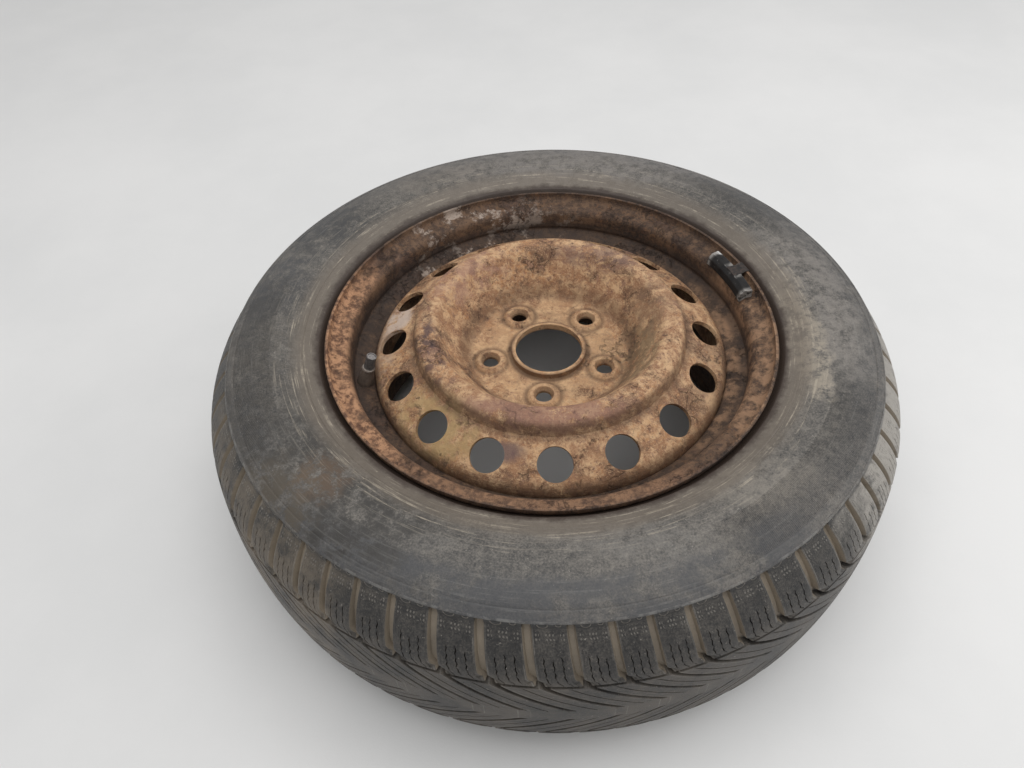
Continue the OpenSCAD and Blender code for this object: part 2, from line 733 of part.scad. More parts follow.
// Brass cup on the pin's lower end, open upwards
module core_cup() {
    color("#c2a25c") at_valve() difference() {
        translate([0, 0, cup_low]) cylinder(h = cup_h - 0.1, d = cup_d, $fn = small_fn);
        translate([0, 0, cup_low + cup_h - 0.1 - seal_h]) cylinder(h = 1, d = cup_d - 0.5, $fn = small_fn);
        translate([0, 0, cup_low - 1]) cylinder(h = 3, d = pin_d + valve_fit * 2, $fn = small_fn);
    }
}

// Rubber ring in the cup, which shuts against the barrel's floor
module core_seal() {
    color("#222222") at_valve() difference() {
        translate([0, 0, barrel_low - 0.1 - seal_h + valve_fit])
            cylinder(h = seal_h, d = cup_d - 0.5 - valve_fit * 2, $fn = small_fn);
        translate([0, 0, cup_low]) cylinder(h = 3, d = pin_d + valve_fit * 2, $fn = small_fn);
    }
}

// Ribbed plastic cap with a recessed top
cap_low = rim_t / 2 + body_h + cap_gap;
gasket_low = stem_top + 0.1;
cap_in_top = gasket_low + cap_gasket_t + valve_fit;
cap_floor = cap_in_top + cap_roof;
cap_top = cap_floor + cap_recess;
cap_bore_d = stem_d + 0.2;
module valve_cap() {
    color("#55565a") at_valve() difference() {
        rotate_extrude($fn = small_fn) polygon(rounded([
            [0, cap_low, 0],
            [cap_d / 2, cap_low, 0.3],
            [cap_d / 2 - 0.3, cap_top, 0.4],
            [cap_d / 2 - cap_rim, cap_top, 0.3],
            [cap_d / 2 - cap_rim - 0.2, cap_floor, 0],
            [0, cap_floor, 0]
        ], 3));
        translate([0, 0, cap_low - 1]) cylinder(h = cap_in_top - cap_low + 1, d = cap_bore_d, $fn = small_fn);
        for (i = [0:cap_ribs - 1]) rotate([0, 0, i * 360 / cap_ribs])
            translate([cap_d / 2, 0, cap_low + 1])
                cylinder(h = cap_top - cap_low - 2.5, r = cap_flute_r, $fn = 16);
    }
}

// Rubber disc between the cap's roof and the stem's end
module cap_gasket() {
    color("#1f1f1f") at_valve() difference() {
        translate([0, 0, gasket_low]) cylinder(h = cap_gasket_t, d = cap_bore_d - 0.1, $fn = small_fn);
        translate([0, 0, gasket_low - 1]) cylinder(h = cap_gasket_t + 2, d = pin_d + 1.8, $fn = small_fn);
    }
}

tyre();
rim();
disc();
disc_welds();
balance_weight();
weight_clip();
valve_body();
valve_stem();
core_plug();
core_barrel();
core_gasket();
core_pin();
core_spring();
core_cup();
core_seal();
valve_cap();
cap_gasket();
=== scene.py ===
# Spare wheel of a car: a rusty pressed steel wheel with a worn winter tyre, lying on its inner side.
# Everything is in metres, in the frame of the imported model: the wheel's axis is Z and the floor is z = 0.
import math

import bpy
import numpy as np
from mathutils import Matrix, Vector


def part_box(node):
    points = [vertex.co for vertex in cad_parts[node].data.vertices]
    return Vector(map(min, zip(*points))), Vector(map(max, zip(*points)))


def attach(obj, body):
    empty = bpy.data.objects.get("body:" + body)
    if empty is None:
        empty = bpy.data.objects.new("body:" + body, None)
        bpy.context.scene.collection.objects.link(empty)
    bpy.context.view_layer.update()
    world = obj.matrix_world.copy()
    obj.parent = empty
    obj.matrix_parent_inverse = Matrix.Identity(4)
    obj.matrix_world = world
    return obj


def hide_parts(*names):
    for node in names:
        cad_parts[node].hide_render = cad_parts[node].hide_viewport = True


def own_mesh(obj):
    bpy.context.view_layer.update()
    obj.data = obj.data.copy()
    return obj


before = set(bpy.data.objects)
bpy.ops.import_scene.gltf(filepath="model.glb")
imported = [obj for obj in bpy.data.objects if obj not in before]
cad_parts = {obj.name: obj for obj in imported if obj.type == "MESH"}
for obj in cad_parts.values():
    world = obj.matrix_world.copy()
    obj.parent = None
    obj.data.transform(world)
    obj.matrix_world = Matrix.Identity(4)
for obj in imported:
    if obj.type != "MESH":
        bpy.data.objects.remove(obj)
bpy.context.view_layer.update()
bpy.ops.object.select_all(action="DESELECT")

# Rim
# The rim is a hoop roll-formed from 2.6 mm steel sheet, with its ends welded together. Its paint is gone:
# it is brown with rust and grime, and its colours are painted darker as painted shade where the wheel's outer
# side is hollow.


def feed(tree, socket, value):
    """Fills a socket with a value or with another node's output."""
    if isinstance(value, bpy.types.NodeSocket):
        tree.links.new(value, socket)
    else:
        socket.default_value = value


def add_node(tree, kind, inputs, settings=None):
    """Adds a node, sets its properties and fills its inputs."""
    node = tree.nodes.new(kind)
    for name, value in (settings or {}).items():
        setattr(node, name, value)
    for key, value in inputs.items():
        feed(tree, node.inputs[key], value)
    return node


def math_of(tree, operation, *values):
    """The result of a Math node."""
    return add_node(tree, "ShaderNodeMath", dict(enumerate(values)), {"operation": operation}).outputs[0]


def vector_of(tree, operation, *values):
    """The result of a Vector Math node: a number for LENGTH and DISTANCE, otherwise a vector."""
    node = add_node(tree, "ShaderNodeVectorMath", dict(enumerate(values)), {"operation": operation})
    return node.outputs["Value" if operation in ("LENGTH", "DISTANCE") else "Vector"]


def flat_point(tree, x, y):
    """The vector (x, y, 0)."""
    return add_node(tree, "ShaderNodeCombineXYZ", {0: x, 1: y}).outputs[0]


def product(tree, *values):
    """All the values multiplied."""
    result = values[0]
    for value in values[1:]:
        result = math_of(tree, "MULTIPLY", result, value)
    return result


def noise(tree, place, scale, detail, roughness=0.6):
    """A noise value from 0 to 1 at a place."""
    values = {"Vector": place, "Scale": scale, "Detail": detail, "Roughness": roughness}
    return add_node(tree, "ShaderNodeTexNoise", values).outputs["Fac"]


def between(tree, value, low, high):
    """0 where the value is at low, 1 where it is at high, smooth in between."""
    values = {"Value": value, "From Min": low, "From Max": high}
    return add_node(tree, "ShaderNodeMapRange", values, {"interpolation_type": "SMOOTHSTEP"}).outputs[0]


def on_band(tree, value, rise, fall):
    """1 on a band of the value, which begins over one pair of numbers and ends over the other."""
    return product(tree, between(tree, value, *rise), between(tree, value, *fall))


def mix(tree, amount, first, second):
    """Mixes two colours."""
    values = {"Factor": amount, 6: first, 7: second}
    return add_node(tree, "ShaderNodeMix", values, {"data_type": "RGBA"}).outputs[2]


def group_with(name, inputs, outputs):
    """A new shader group, with its input and output nodes."""
    group = bpy.data.node_groups.new(name, "ShaderNodeTree")
    for label, kind, value in inputs:
        socket = group.interface.new_socket(label, in_out="INPUT", socket_type="NodeSocket" + kind)
        socket.default_value = value
    for label, kind in outputs:
        group.interface.new_socket(label, in_out="OUTPUT", socket_type="NodeSocket" + kind)
    return group, group.nodes.new("NodeGroupInput").outputs, group.nodes.new("NodeGroupOutput").inputs


def place_of(tree):
    """The Object coordinates, which are the frame's own metres."""
    return tree.nodes.new("ShaderNodeTexCoord").outputs["Object"]


def rusted_steel_group():
    """Rust in layers: mottled, with orange grains, dark blots, cracks, pits and flakes with torn edges."""
    group, given, result = group_with(
        "rusted_steel",
        [
            ("Base", "Color", (0.3, 0.16, 0.09, 1)),
            ("Light", "Color", (0.5, 0.32, 0.2, 1)),
            ("Orange", "Color", (0.45, 0.2, 0.08, 1)),
            ("Dark", "Color", (0.1, 0.05, 0.03, 1)),
            ("Flake", "Color", (0.12, 0.06, 0.05, 1)),
            ("Flake edge", "Float", 0.58),
            ("Blots", "Float", 0.7),
        ],
        [("Color", "Color"), ("Roughness", "Float"), ("Height", "Float")],
    )
    place = place_of(group)
    drift = add_node(group, "ShaderNodeTexNoise", {"Vector": place, "Scale": 45.0, "Detail": 6.0})
    shift = vector_of(group, "MULTIPLY", drift.outputs["Color"], (0.02, 0.02, 0.02))
    bent = vector_of(group, "ADD", place, shift)
    large = noise(group, bent, 15.0, 7.0, 0.65)
    middle = noise(group, bent, 85.0, 12.0, 0.8)
    blot = noise(group, place, 32.0, 10.0, 0.74)
    fine = noise(group, place, 290.0, 8.0, 0.75)
    scab = noise(group, bent, 140.0, 8.0, 0.72)
    grain = noise(group, place, 800.0, 4.0, 0.7)
    color = mix(group, between(group, middle, 0.44, 0.58), given["Base"], given["Light"])
    orange = math_of(group, "MULTIPLY", between(group, fine, 0.5, 0.6), between(group, large, 0.42, 0.56))
    color = mix(group, math_of(group, "MULTIPLY", orange, 0.6), color, given["Orange"])
    dark = math_of(group, "MULTIPLY", between(group, blot, 0.49, 0.59), given["Blots"])
    color = mix(group, dark, color, given["Dark"])
    scabs = math_of(group, "MULTIPLY", between(group, scab, 0.55, 0.62), 0.55)
    color = mix(group, scabs, color, given["Flake"])
    flake = math_of(group, "MULTIPLY_ADD", middle, 0.32, math_of(group, "MULTIPLY", large, 0.68))
    past_edge = math_of(group, "SUBTRACT", flake, given["Flake edge"])
    peeled = between(group, past_edge, 0.0, 0.01)
    torn = between(group, math_of(group, "ABSOLUTE", past_edge), 0.007, 0.0)
    color = mix(group, math_of(group, "MULTIPLY", peeled, 0.6), color, given["Flake"])
    # Cracks run between the scales of rust, in some places only
    values = {"Vector": bent, "Scale": 48.0, "Detail": 2.0}
    scales = add_node(group, "ShaderNodeTexVoronoi", values, {"feature": "DISTANCE_TO_EDGE"}).outputs[0]
    crack = product(group, between(group, scales, 0.03, 0.0), between(group, blot, 0.53, 0.6), 0.8)
    gap = math_of(group, "MAXIMUM", crack, torn)
    color = mix(group, math_of(group, "MULTIPLY", gap, 0.72), color, (0.03, 0.015, 0.01, 1))
    bright = math_of(group, "MULTIPLY", between(group, grain, 0.52, 0.64), 0.6)
    color = mix(group, bright, color, given["Light"])
    pits = math_of(group, "MULTIPLY", between(group, fine, 0.45, 0.36), 0.75)
    color = mix(group, pits, color, given["Dark"])
    height = math_of(group, "MULTIPLY_ADD", grain, 0.35, middle)
    height = math_of(group, "MULTIPLY_ADD", fine, 0.5, height)
    height = math_of(group, "MULTIPLY_ADD", peeled, -0.4, height)
    height = math_of(group, "MULTIPLY_ADD", gap, -0.7, height)
    group.links.new(color, result["Color"])
    group.links.new(math_of(group, "MULTIPLY_ADD", middle, 0.35, 0.55), result["Roughness"])
    group.links.new(height, result["Height"])
    return group


def soft_spot_group():
    """A ragged spot around a place: 1 in its middle and 0 outside."""
    group, given, result = group_with(
        "soft_spot",
        [("Middle", "Vector", (0, 0, 0)), ("Size", "Vector", (0.05, 0.05, 0.05)), ("Ragged", "Float", 0.8)],
        [("Mask", "Float")],
    )
    place = place_of(group)
    away = vector_of(group, "SUBTRACT", place, given["Middle"])
    far = vector_of(group, "LENGTH", vector_of(group, "DIVIDE", away, given["Size"]))
    wander = math_of(group, "SUBTRACT", noise(group, place, 48.0, 7.0, 0.68), 0.5)
    ragged = math_of(group, "MULTIPLY_ADD", wander, given["Ragged"], far)
    group.links.new(between(group, ragged, 1.1, 0.55), result["Mask"])
    return group


RUST = rusted_steel_group()
SPOT = soft_spot_group()


def group_node(tree, group, **values):
    """The outputs of a shader group with some of its inputs set. An underscore stands for a space."""
    inputs = {name.replace("_", " "): value for name, value in values.items()}
    node = add_node(tree, "ShaderNodeGroup", {}, {"node_tree": group})
    for name, value in inputs.items():
        feed(tree, node.inputs[name], value)
    return node.outputs


def spot(tree, middle, size, ragged):
    """The mask of a ragged spot, with its middle and its reach along each axis."""
    return group_node(tree, SPOT, Middle=middle, Size=size, Ragged=ragged)["Mask"]


def new_material(name):
    """A material, its node tree and its Principled shader."""
    material = bpy.data.materials.new(name)
    material.use_nodes = True
    tree = material.node_tree
    return material, tree, tree.nodes["Principled BSDF"]


def coat(tree, shader, color, roughness, height, depth, strength=1.0):
    """Gives the shader its colour, its roughness and a relief that is so many metres deep."""
    feed(tree, shader.inputs["Base Color"], color)
    feed(tree, shader.inputs["Roughness"], roughness)
    values = {"Height": height, "Distance": depth, "Strength": strength}
    feed(tree, shader.inputs["Normal"], add_node(tree, "ShaderNodeBump", values).outputs["Normal"])


def radius_and_height(tree):
    """Distance from the wheel's axis, height above the floor, and the place itself."""
    place = place_of(tree)
    x, y, z = add_node(tree, "ShaderNodeSeparateXYZ", {0: place}).outputs
    return vector_of(tree, "LENGTH", flat_point(tree, x, y)), z, place


def dress(name, material):
    """Gives a CAD node its material."""
    for material_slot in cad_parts[name].material_slots:
        material_slot.material = material


# Where the parts of the rim's finish begin and are full, as distances from the axis and heights
FLANGE_FAR = (0.184, 0.192)
FLANGE_HIGH = (0.176, 0.184)
WELL_FAR = (0.1845, 0.1765)
DARK_BAND_TOP = (0.178, 0.171)
DARK_BAND_FOOT = (0.155, 0.163)
DARK_BAND_FAR = (0.176, 0.182)
TYRE_CORNER_FAR = (0.2055, 0.2072)
rim_rust, tree, shader = new_material("rim_rust")
# The rust's colours are dark: rust and grime, and painted shade inside the hollow rim
rust = group_node(
    tree,
    RUST,
    Base=(0.064, 0.036, 0.022, 1),
    Light=(0.155, 0.09, 0.052, 1),
    Orange=(0.22, 0.105, 0.048, 1),
    Dark=(0.022, 0.012, 0.008, 1),
    Flake=(0.06, 0.033, 0.025, 1),
    Flake_edge=0.555,
)
far, high, place = radius_and_height(tree)
patches = noise(tree, place, 42.0, 10.0, 0.76)
color = rust["Color"]
# The curl of the outer flange is painted a paler, warmer orange brown on its left and front: orange rust, and
# a painted highlight
flecks = noise(tree, place, 110.0, 10.0, 0.78)
orange = mix(tree, between(tree, flecks, 0.42, 0.57), (0.12, 0.056, 0.03, 1), (0.46, 0.25, 0.135, 1))
left = spot(tree, (-0.19, -0.06, 0.19), (0.11, 0.17, 0.06), 0.9)
front = math_of(tree, "MULTIPLY", spot(tree, (-0.02, -0.2, 0.19), (0.2, 0.07, 0.06), 0.9), 0.45)
warm = math_of(tree, "MAXIMUM", left, front)
on_flange = product(tree, between(tree, far, *FLANGE_FAR), between(tree, high, *FLANGE_HIGH))
patchy_edge = math_of(tree, "MULTIPLY_ADD", between(tree, patches, 0.38, 0.5), 0.6, 0.4)
color = mix(tree, product(tree, warm, on_flange, patchy_edge), color, orange)
# The bead seat's inner side is painted tan on the right: dust, and painted light
right = spot(tree, (0.19, -0.04, 0.17), (0.08, 0.15, 0.07), 0.9)
lit = product(tree, right, between(tree, patches, 0.44, 0.56), 0.75)
color = mix(tree, lit, color, (0.36, 0.21, 0.12, 1))
# The well, which the disc's edge shades, is painted nearly black: painted shade, broken up in patches
well_shade = product(tree, between(tree, far, *WELL_FAR), between(tree, patches, 0.66, 0.4), 0.7)
color = mix(tree, well_shade, color, (0.035, 0.021, 0.014, 1))
# Pale grime is smeared over the far wall, below a band painted dark all around, where the well turns into the
# bead seat
back = spot(tree, (-0.09, 0.165, 0.165), (0.14, 0.07, 0.045), 0.8)
smeared = product(tree, back, between(tree, patches, 0.53, 0.6), 0.75)
color = mix(tree, smeared, color, (0.45, 0.37, 0.31, 1))
dark_band = product(tree, on_band(tree, high, DARK_BAND_TOP, DARK_BAND_FOOT), between(tree, far, *DARK_BAND_FAR), 0.6)
color = mix(tree, dark_band, color, (0.03, 0.02, 0.016, 1))
# Painted shade blackens the corner where the tyre meets the flange
gap_shade = math_of(tree, "MULTIPLY", between(tree, far, *TYRE_CORNER_FAR), 0.5)
color = mix(tree, gap_shade, color, (0.03, 0.02, 0.015, 1))
coat(tree, shader, color, rust["Roughness"], rust["Height"], 0.0011)
dress("rim", rim_rust)

# Disc
# The wheel's centre is pressed from 3.8 mm steel sheet, with a bowl for the hub, a crown, 16 round vent
# holes and five bolt holes in raised bosses, and is welded into the rim. Its orange and tan rust stands in
# layers, and flakes have come off in places.
STEP_FOOT = ((0.1215, 0.1265), (0.135, 0.129))
BOWL_FOOT = ((0.07, 0.078), (0.09, 0.082))
LIP_FOOT = ((0.033, 0.0362), (0.0425, 0.038))
RING_EDGE = (0.16, 0.168)
BOLT_CIRCLE_R = 0.05715
BOLT_HOLES = 5
FIRST_BOLT = math.radians(-94.5)
PLATE_HEIGHT = 0.158
BOSS_FOOT_R = 0.0165
SEAT_R = (0.0105, 0.0085)


def most(tree, *values):
    """The largest of the values."""
    result = values[0]
    for value in values[1:]:
        result = math_of(tree, "MAXIMUM", result, value)
    return result


disc_rust, tree, shader = new_material("disc_rust")
rust = group_node(
    tree,
    RUST,
    Base=(0.33, 0.17, 0.087, 1),
    Light=(0.62, 0.4, 0.225, 1),
    Orange=(0.5, 0.235, 0.085, 1),
    Dark=(0.1, 0.047, 0.027, 1),
    Flake=(0.2, 0.1, 0.075, 1),
    Flake_edge=0.6,
    Blots=0.68,
)
far, high, place = radius_and_height(tree)
patches = noise(tree, place, 55.0, 11.0, 0.78)
color = rust["Color"]
# Stains, as the middle and reach of each, how much it covers, where it is broken up and its colour
STAINS = (
    ((0, 0, 0.158), (0.09, 0.09, 0.016), 0.5, 0.42, (0.62, 0.4, 0.22, 1)),
    ((-0.03, -0.155, 0.17), (0.15, 0.03, 0.03), 0.45, 0.46, (0.38, 0.2, 0.1, 1)),
    ((-0.095, -0.11, 0.178), (0.05, 0.05, 0.03), 0.7, 0.42, (0.42, 0.29, 0.13, 1)),
    ((0.085, -0.03, 0.178), (0.03, 0.06, 0.028), 0.7, 0.4, (0.2, 0.145, 0.08, 1)),
    ((0.1, 0.03, 0.19), (0.025, 0.05, 0.02), 0.5, 0.44, (0.24, 0.15, 0.09, 1)),
    ((-0.01, -0.118, 0.2), (0.12, 0.03, 0.012), 0.65, 0.4, (0.27, 0.14, 0.105, 1)),
    ((-0.09, 0.075, 0.195), (0.06, 0.05, 0.02), 0.5, 0.45, (0.36, 0.2, 0.15, 1)),
    ((0.06, 0.095, 0.2), (0.07, 0.025, 0.015), 0.6, 0.44, (0.17, 0.1, 0.085, 1)),
    ((-0.114, -0.03, 0.2), (0.015, 0.035, 0.01), 0.85, 0.46, (0.1, 0.058, 0.055, 1)),
    ((-0.1, -0.065, 0.2), (0.012, 0.022, 0.01), 0.8, 0.46, (0.12, 0.065, 0.055, 1)),
    ((-0.045, -0.14, 0.182), (0.03, 0.012, 0.01), 0.85, 0.3, (0.14, 0.085, 0.08, 1)),
    ((-0.147, 0.027, 0.178), (0.018, 0.024, 0.015), 0.85, 0.4, (0.62, 0.5, 0.42, 1)),
    ((-0.16, -0.02, 0.175), (0.02, 0.06, 0.02), 0.5, 0.46, (0.5, 0.37, 0.28, 1)),
    ((0.15, -0.05, 0.172), (0.03, 0.07, 0.03), 0.5, 0.46, (0.52, 0.34, 0.2, 1)),
)
for middle, reach, cover, broken, stain in STAINS:
    torn = between(tree, patches, broken, broken + 0.1)
    color = mix(tree, product(tree, spot(tree, middle, reach, 1.2), torn, cover), color, stain)
# Painted shade lies where the step outside the crown turns out into the ring, at the ring's edge by the rim,
# where the plate turns up into the bowl, around the bore's lip, and around and in the bolt holes' seats
crease_shade = [
    math_of(tree, "MULTIPLY", on_band(tree, far, *STEP_FOOT), 0.5),
    math_of(tree, "MULTIPLY", on_band(tree, far, *BOWL_FOOT), 0.5),
    math_of(tree, "MULTIPLY", on_band(tree, far, *LIP_FOOT), 0.75),
    math_of(tree, "MULTIPLY", between(tree, far, *RING_EDGE), 0.65),
]
for number in range(BOLT_HOLES):
    turn = FIRST_BOLT + number * 2 * math.pi / BOLT_HOLES
    hole = (BOLT_CIRCLE_R * math.cos(turn), BOLT_CIRCLE_R * math.sin(turn), PLATE_HEIGHT)
    away = vector_of(tree, "DISTANCE", place, hole)
    boss_foot = on_band(tree, away, (BOSS_FOOT_R - 0.003, BOSS_FOOT_R), (BOSS_FOOT_R + 0.0045, BOSS_FOOT_R))
    crease_shade.append(math_of(tree, "MULTIPLY", boss_foot, 0.6))
    crease_shade.append(math_of(tree, "MULTIPLY", between(tree, away, *SEAT_R), 0.45))
creases = product(tree, most(tree, *crease_shade), between(tree, patches, 0.3, 0.5))
color = mix(tree, creases, color, (0.085, 0.045, 0.026, 1))
coat(tree, shader, color, rust["Roughness"], rust["Height"], 0.0014)
dress("disc", disc_rust)
dress("disc_welds", rim_rust)

# Tyre casing
# A winter tyre is moulded and cured in one piece. Its casing is the two beads, the two sidewalls with their
# mouldings, and the lining inside, and it is seated on the rim. The sidewalls are grey with dust, and brown
# with dirt and rust near the rim.
BULGE_H = 0.105
BULGE_R = 0.254
SIDE_CURVE = 0.073
LIP_R = 0.2074
EDGE_R = 0.296
TREAD_BLOCKS = 62
FIRST_GROOVE = math.radians(-127.6)
tyre_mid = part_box("tyre")[1][2] - BULGE_H
SIDE_COLUMNS = 310


def side_height(radius):
    """Height of the sidewall's surface above the tyre's middle, at a radius."""
    return BULGE_H - (radius - BULGE_R) ** 2 / (2 * SIDE_CURVE)


def rounded_line(corners, steps=4):
    """Points of a line of (radius, height, corner radius), with its corners rounded."""
    points = []
    for index, (radius, height, bend) in enumerate(corners):
        here = np.array((radius, height))
        if bend == 0:
            points.append(here)
            continue
        before = np.array(corners[index - 1][:2]) - here
        after = np.array(corners[index + 1][:2]) - here
        before /= np.linalg.norm(before)
        after /= np.linalg.norm(after)
        half = math.acos(before @ after) / 2
        middle = here + (before + after) / np.linalg.norm(before + after) * bend / math.sin(half)
        start = here + before * bend / math.tan(half) - middle
        end = here + after * bend / math.tan(half) - middle
        turn = math.pi - 2 * half
        for step in range(steps + 1):
            share = step / steps
            arm = (start * math.sin(turn * (1 - share)) + end * math.sin(turn * share)) / math.sin(turn)
            points.append(middle + arm)
    return points


def ring_mesh(name, line, sink, turns, along, across):
    """A closed tube around the wheel's axis, from a section's points, their shifts and the columns' turns.

    line holds (radius, height) in each row, sink the same shifts in each row and column, and turns an angle.
    along and across are the values of the map named around.
    """
    radii = line[:, :1] + sink[..., 0]
    heights = line[:, 1:] + sink[..., 1]
    tall = np.maximum(heights + tyre_mid, 0)
    places = np.stack([radii * np.cos(turns), radii * np.sin(turns), tall], axis=-1)
    rows, columns = places.shape[:2]
    mesh = bpy.data.meshes.new(name)
    row, column = np.meshgrid(np.arange(rows), np.arange(columns), indexing="ij")
    next_row = (row + 1) % rows
    next_column = (column + 1) % columns
    corners = [(row, column), (next_row, column), (next_row, next_column), (row, next_column)]
    faces = np.stack([r * columns + c for r, c in corners], axis=-1).reshape(-1, 4)
    mesh.from_pydata(places.reshape(-1, 3).tolist(), [], faces.tolist())
    last_column = column == columns - 1
    sides = [(along[row, column], across[row]), (along[row, column], across[next_row])]
    far_along = np.where(last_column, along[row, next_column] + TREAD_BLOCKS, along[row, next_column])
    sides += [(far_along, across[next_row]), (far_along, across[row])]
    uv = np.stack([np.stack([u, v], axis=-1) for u, v in sides], axis=2)
    layer = mesh.uv_layers.new(name="around")
    layer.data.foreach_set("uv", uv.reshape(-1).astype(np.float32))
    mesh.update()
    made = bpy.data.objects.new(name, mesh)
    bpy.context.collection.objects.link(made)
    bpy.ops.object.select_all(action="DESELECT")
    made.select_set(True)
    bpy.context.view_layer.objects.active = made
    bpy.ops.object.mode_set(mode="EDIT")
    bpy.ops.mesh.select_all(action="SELECT")
    bpy.ops.mesh.normals_make_consistent(inside=False)
    bpy.ops.object.mode_set(mode="OBJECT")
    return made


def lengths_along(line):
    """Distance of each point from the first, along the line."""
    steps = np.linalg.norm(np.diff(line, axis=0), axis=1)
    return np.concatenate([[0], np.cumsum(steps)])


# The bead from its toe to the ridge outside the flange, as radius, height and the corner's own radius
bead = rounded_line(
    [
        (0.1886, 0.0656, 0),
        (0.1902, 0.08245, 0.0065),
        (LIP_R - 0.0055, 0.08245, 0.008),
        (LIP_R + 0.002, 0.08855, 0.003),
        (LIP_R + 0.0055, 0.09505, 0.002),
        (LIP_R + 0.011, side_height(LIP_R + 0.011), 0.003),
        (LIP_R + 0.014, side_height(LIP_R + 0.014), 0),
    ]
)
# Fine raised rings of the mould, as radius and height
MOULD_RINGS = ((0.2252, 0.0004), (0.2343, 0.0003), (0.2885, 0.0003))
RING_HALF = 0.0008
ROW_STEP = 0.0037
side = []
for radius in np.arange(LIP_R + 0.0165, EDGE_R - 0.004, ROW_STEP):
    if min(abs(radius - ring) for ring, height in MOULD_RINGS) > 0.0015:
        side.append((radius, side_height(radius)))
for ring, height in MOULD_RINGS:
    foot = side_height(ring)
    side += [(ring - RING_HALF, foot), (ring, foot + height), (ring + RING_HALF, foot)]
side.sort()
# The tread's edge stands out over the sidewall, and the casing runs on under the tread
edge_ring = [(-0.0016, 0), (-0.0011, 0.0005), (-0.0003, 0.0003), (0.0002, -0.0006), (-0.0012, -0.0045)]
edge_ring = [(EDGE_R + out, side_height(EDGE_R + out) + height) for out, height in edge_ring]
under_tread = [(0.288, 0.0815), (0.294, 0.0715), (0.302, 0.056), (0.3085, 0.03)]
half = np.array([tuple(point) for point in bead] + side + edge_ring + under_tread)
other_half = half[::-1] * (1, -1)
# The lining's points, as radius and height, from the bead's toe up to the shoulder
LINING = ((0.1896, 0.0645), (0.2061, 0.0735), (0.225, 0.084), (0.24, 0.092), (0.2535, 0.0955))
LINING += ((0.269, 0.0915), (0.281, 0.0815), (0.289, 0.0695), (0.2985, 0.052))
LINING_CROWN_R = 0.307
CASING_CROWN_R = 0.3105
inner = np.array(LINING)
lining = np.concatenate([inner * (1, -1), [(LINING_CROWN_R, 0)], inner[::-1]])
line = np.concatenate([half, [(CASING_CROWN_R, 0)], other_half, lining])
turns = FIRST_GROOVE + np.arange(SIDE_COLUMNS) * 2 * math.pi / SIDE_COLUMNS
# The ridge over the bead is worn and nicked
WEAR = 0.0009
WEAR_SPAN = 5
rng = np.random.default_rng(7)
nicks = rng.normal(0, 1, SIDE_COLUMNS + WEAR_SPAN - 1)
worn = np.convolve(nicks, np.ones(WEAR_SPAN) / WEAR_SPAN, mode="valid")
past_lip = line[:, 0] - LIP_R
on_ridge = (past_lip > 0.0035) & (past_lip < 0.0075) & (abs(line[:, 1]) > 0.09)
shift = (np.sign(line[:, 1]) * on_ridge)[:, None] * np.minimum(worn, 0.3)[None, :] * WEAR
sink = np.stack([np.zeros_like(shift), shift], axis=-1)
around = np.repeat((np.arange(SIDE_COLUMNS) * TREAD_BLOCKS / SIDE_COLUMNS)[None, :], len(line), axis=0)
tyre_casing = ring_mesh("tyre_casing", line, sink, turns, around, lengths_along(line))
bpy.ops.object.shade_smooth_by_angle(angle=math.radians(50))


def dusty_rubber_group():
    """Black rubber under dust and dirt: clouds, scuffs and grains of a paler colour, and pale specks."""
    group, given, result = group_with(
        "dusty_rubber",
        [
            ("Rubber", "Color", (0.055, 0.052, 0.053, 1)),
            ("Dust", "Color", (0.2, 0.185, 0.17, 1)),
            ("Dust share", "Float", 0.5),
        ],
        [("Color", "Color"), ("Roughness", "Float"), ("Height", "Float")],
    )
    place = place_of(group)
    cloud = noise(group, place, 9.0, 9.0, 0.66)
    scuff = noise(group, place, 130.0, 10.0, 0.8)
    grain = noise(group, place, 700.0, 4.0, 0.65)
    share = math_of(group, "ADD", given["Dust share"], math_of(group, "MULTIPLY_ADD", cloud, 1.2, -0.6))
    share = math_of(group, "MULTIPLY_ADD", math_of(group, "SUBTRACT", grain, 0.5), 1.7, share)
    share = math_of(group, "MULTIPLY_ADD", math_of(group, "SUBTRACT", scuff, 0.5), 1.9, share)
    color = mix(group, between(group, share, -0.25, 1.15), given["Rubber"], given["Dust"])
    speck = noise(group, place, 330.0, 3.0, 0.8)
    specks = math_of(group, "MULTIPLY", between(group, speck, 0.64, 0.72), 0.6)
    color = mix(group, specks, color, (0.38, 0.35, 0.31, 1))
    group.links.new(color, result["Color"])
    group.links.new(math_of(group, "MULTIPLY_ADD", share, 0.2, 0.5), result["Roughness"])
    height = math_of(group, "MULTIPLY_ADD", grain, 0.4, math_of(group, "MULTIPLY", scuff, 0.6))
    group.links.new(height, result["Height"])
    return group


def around_the_tyre(tree):
    """The map's values: the number of blocks passed since the first groove, and metres along the section."""
    values = add_node(tree, "ShaderNodeUVMap", {}, {"uv_map": "around"}).outputs[0]
    return add_node(tree, "ShaderNodeSeparateXYZ", {0: values}).outputs


RUBBER = dusty_rubber_group()
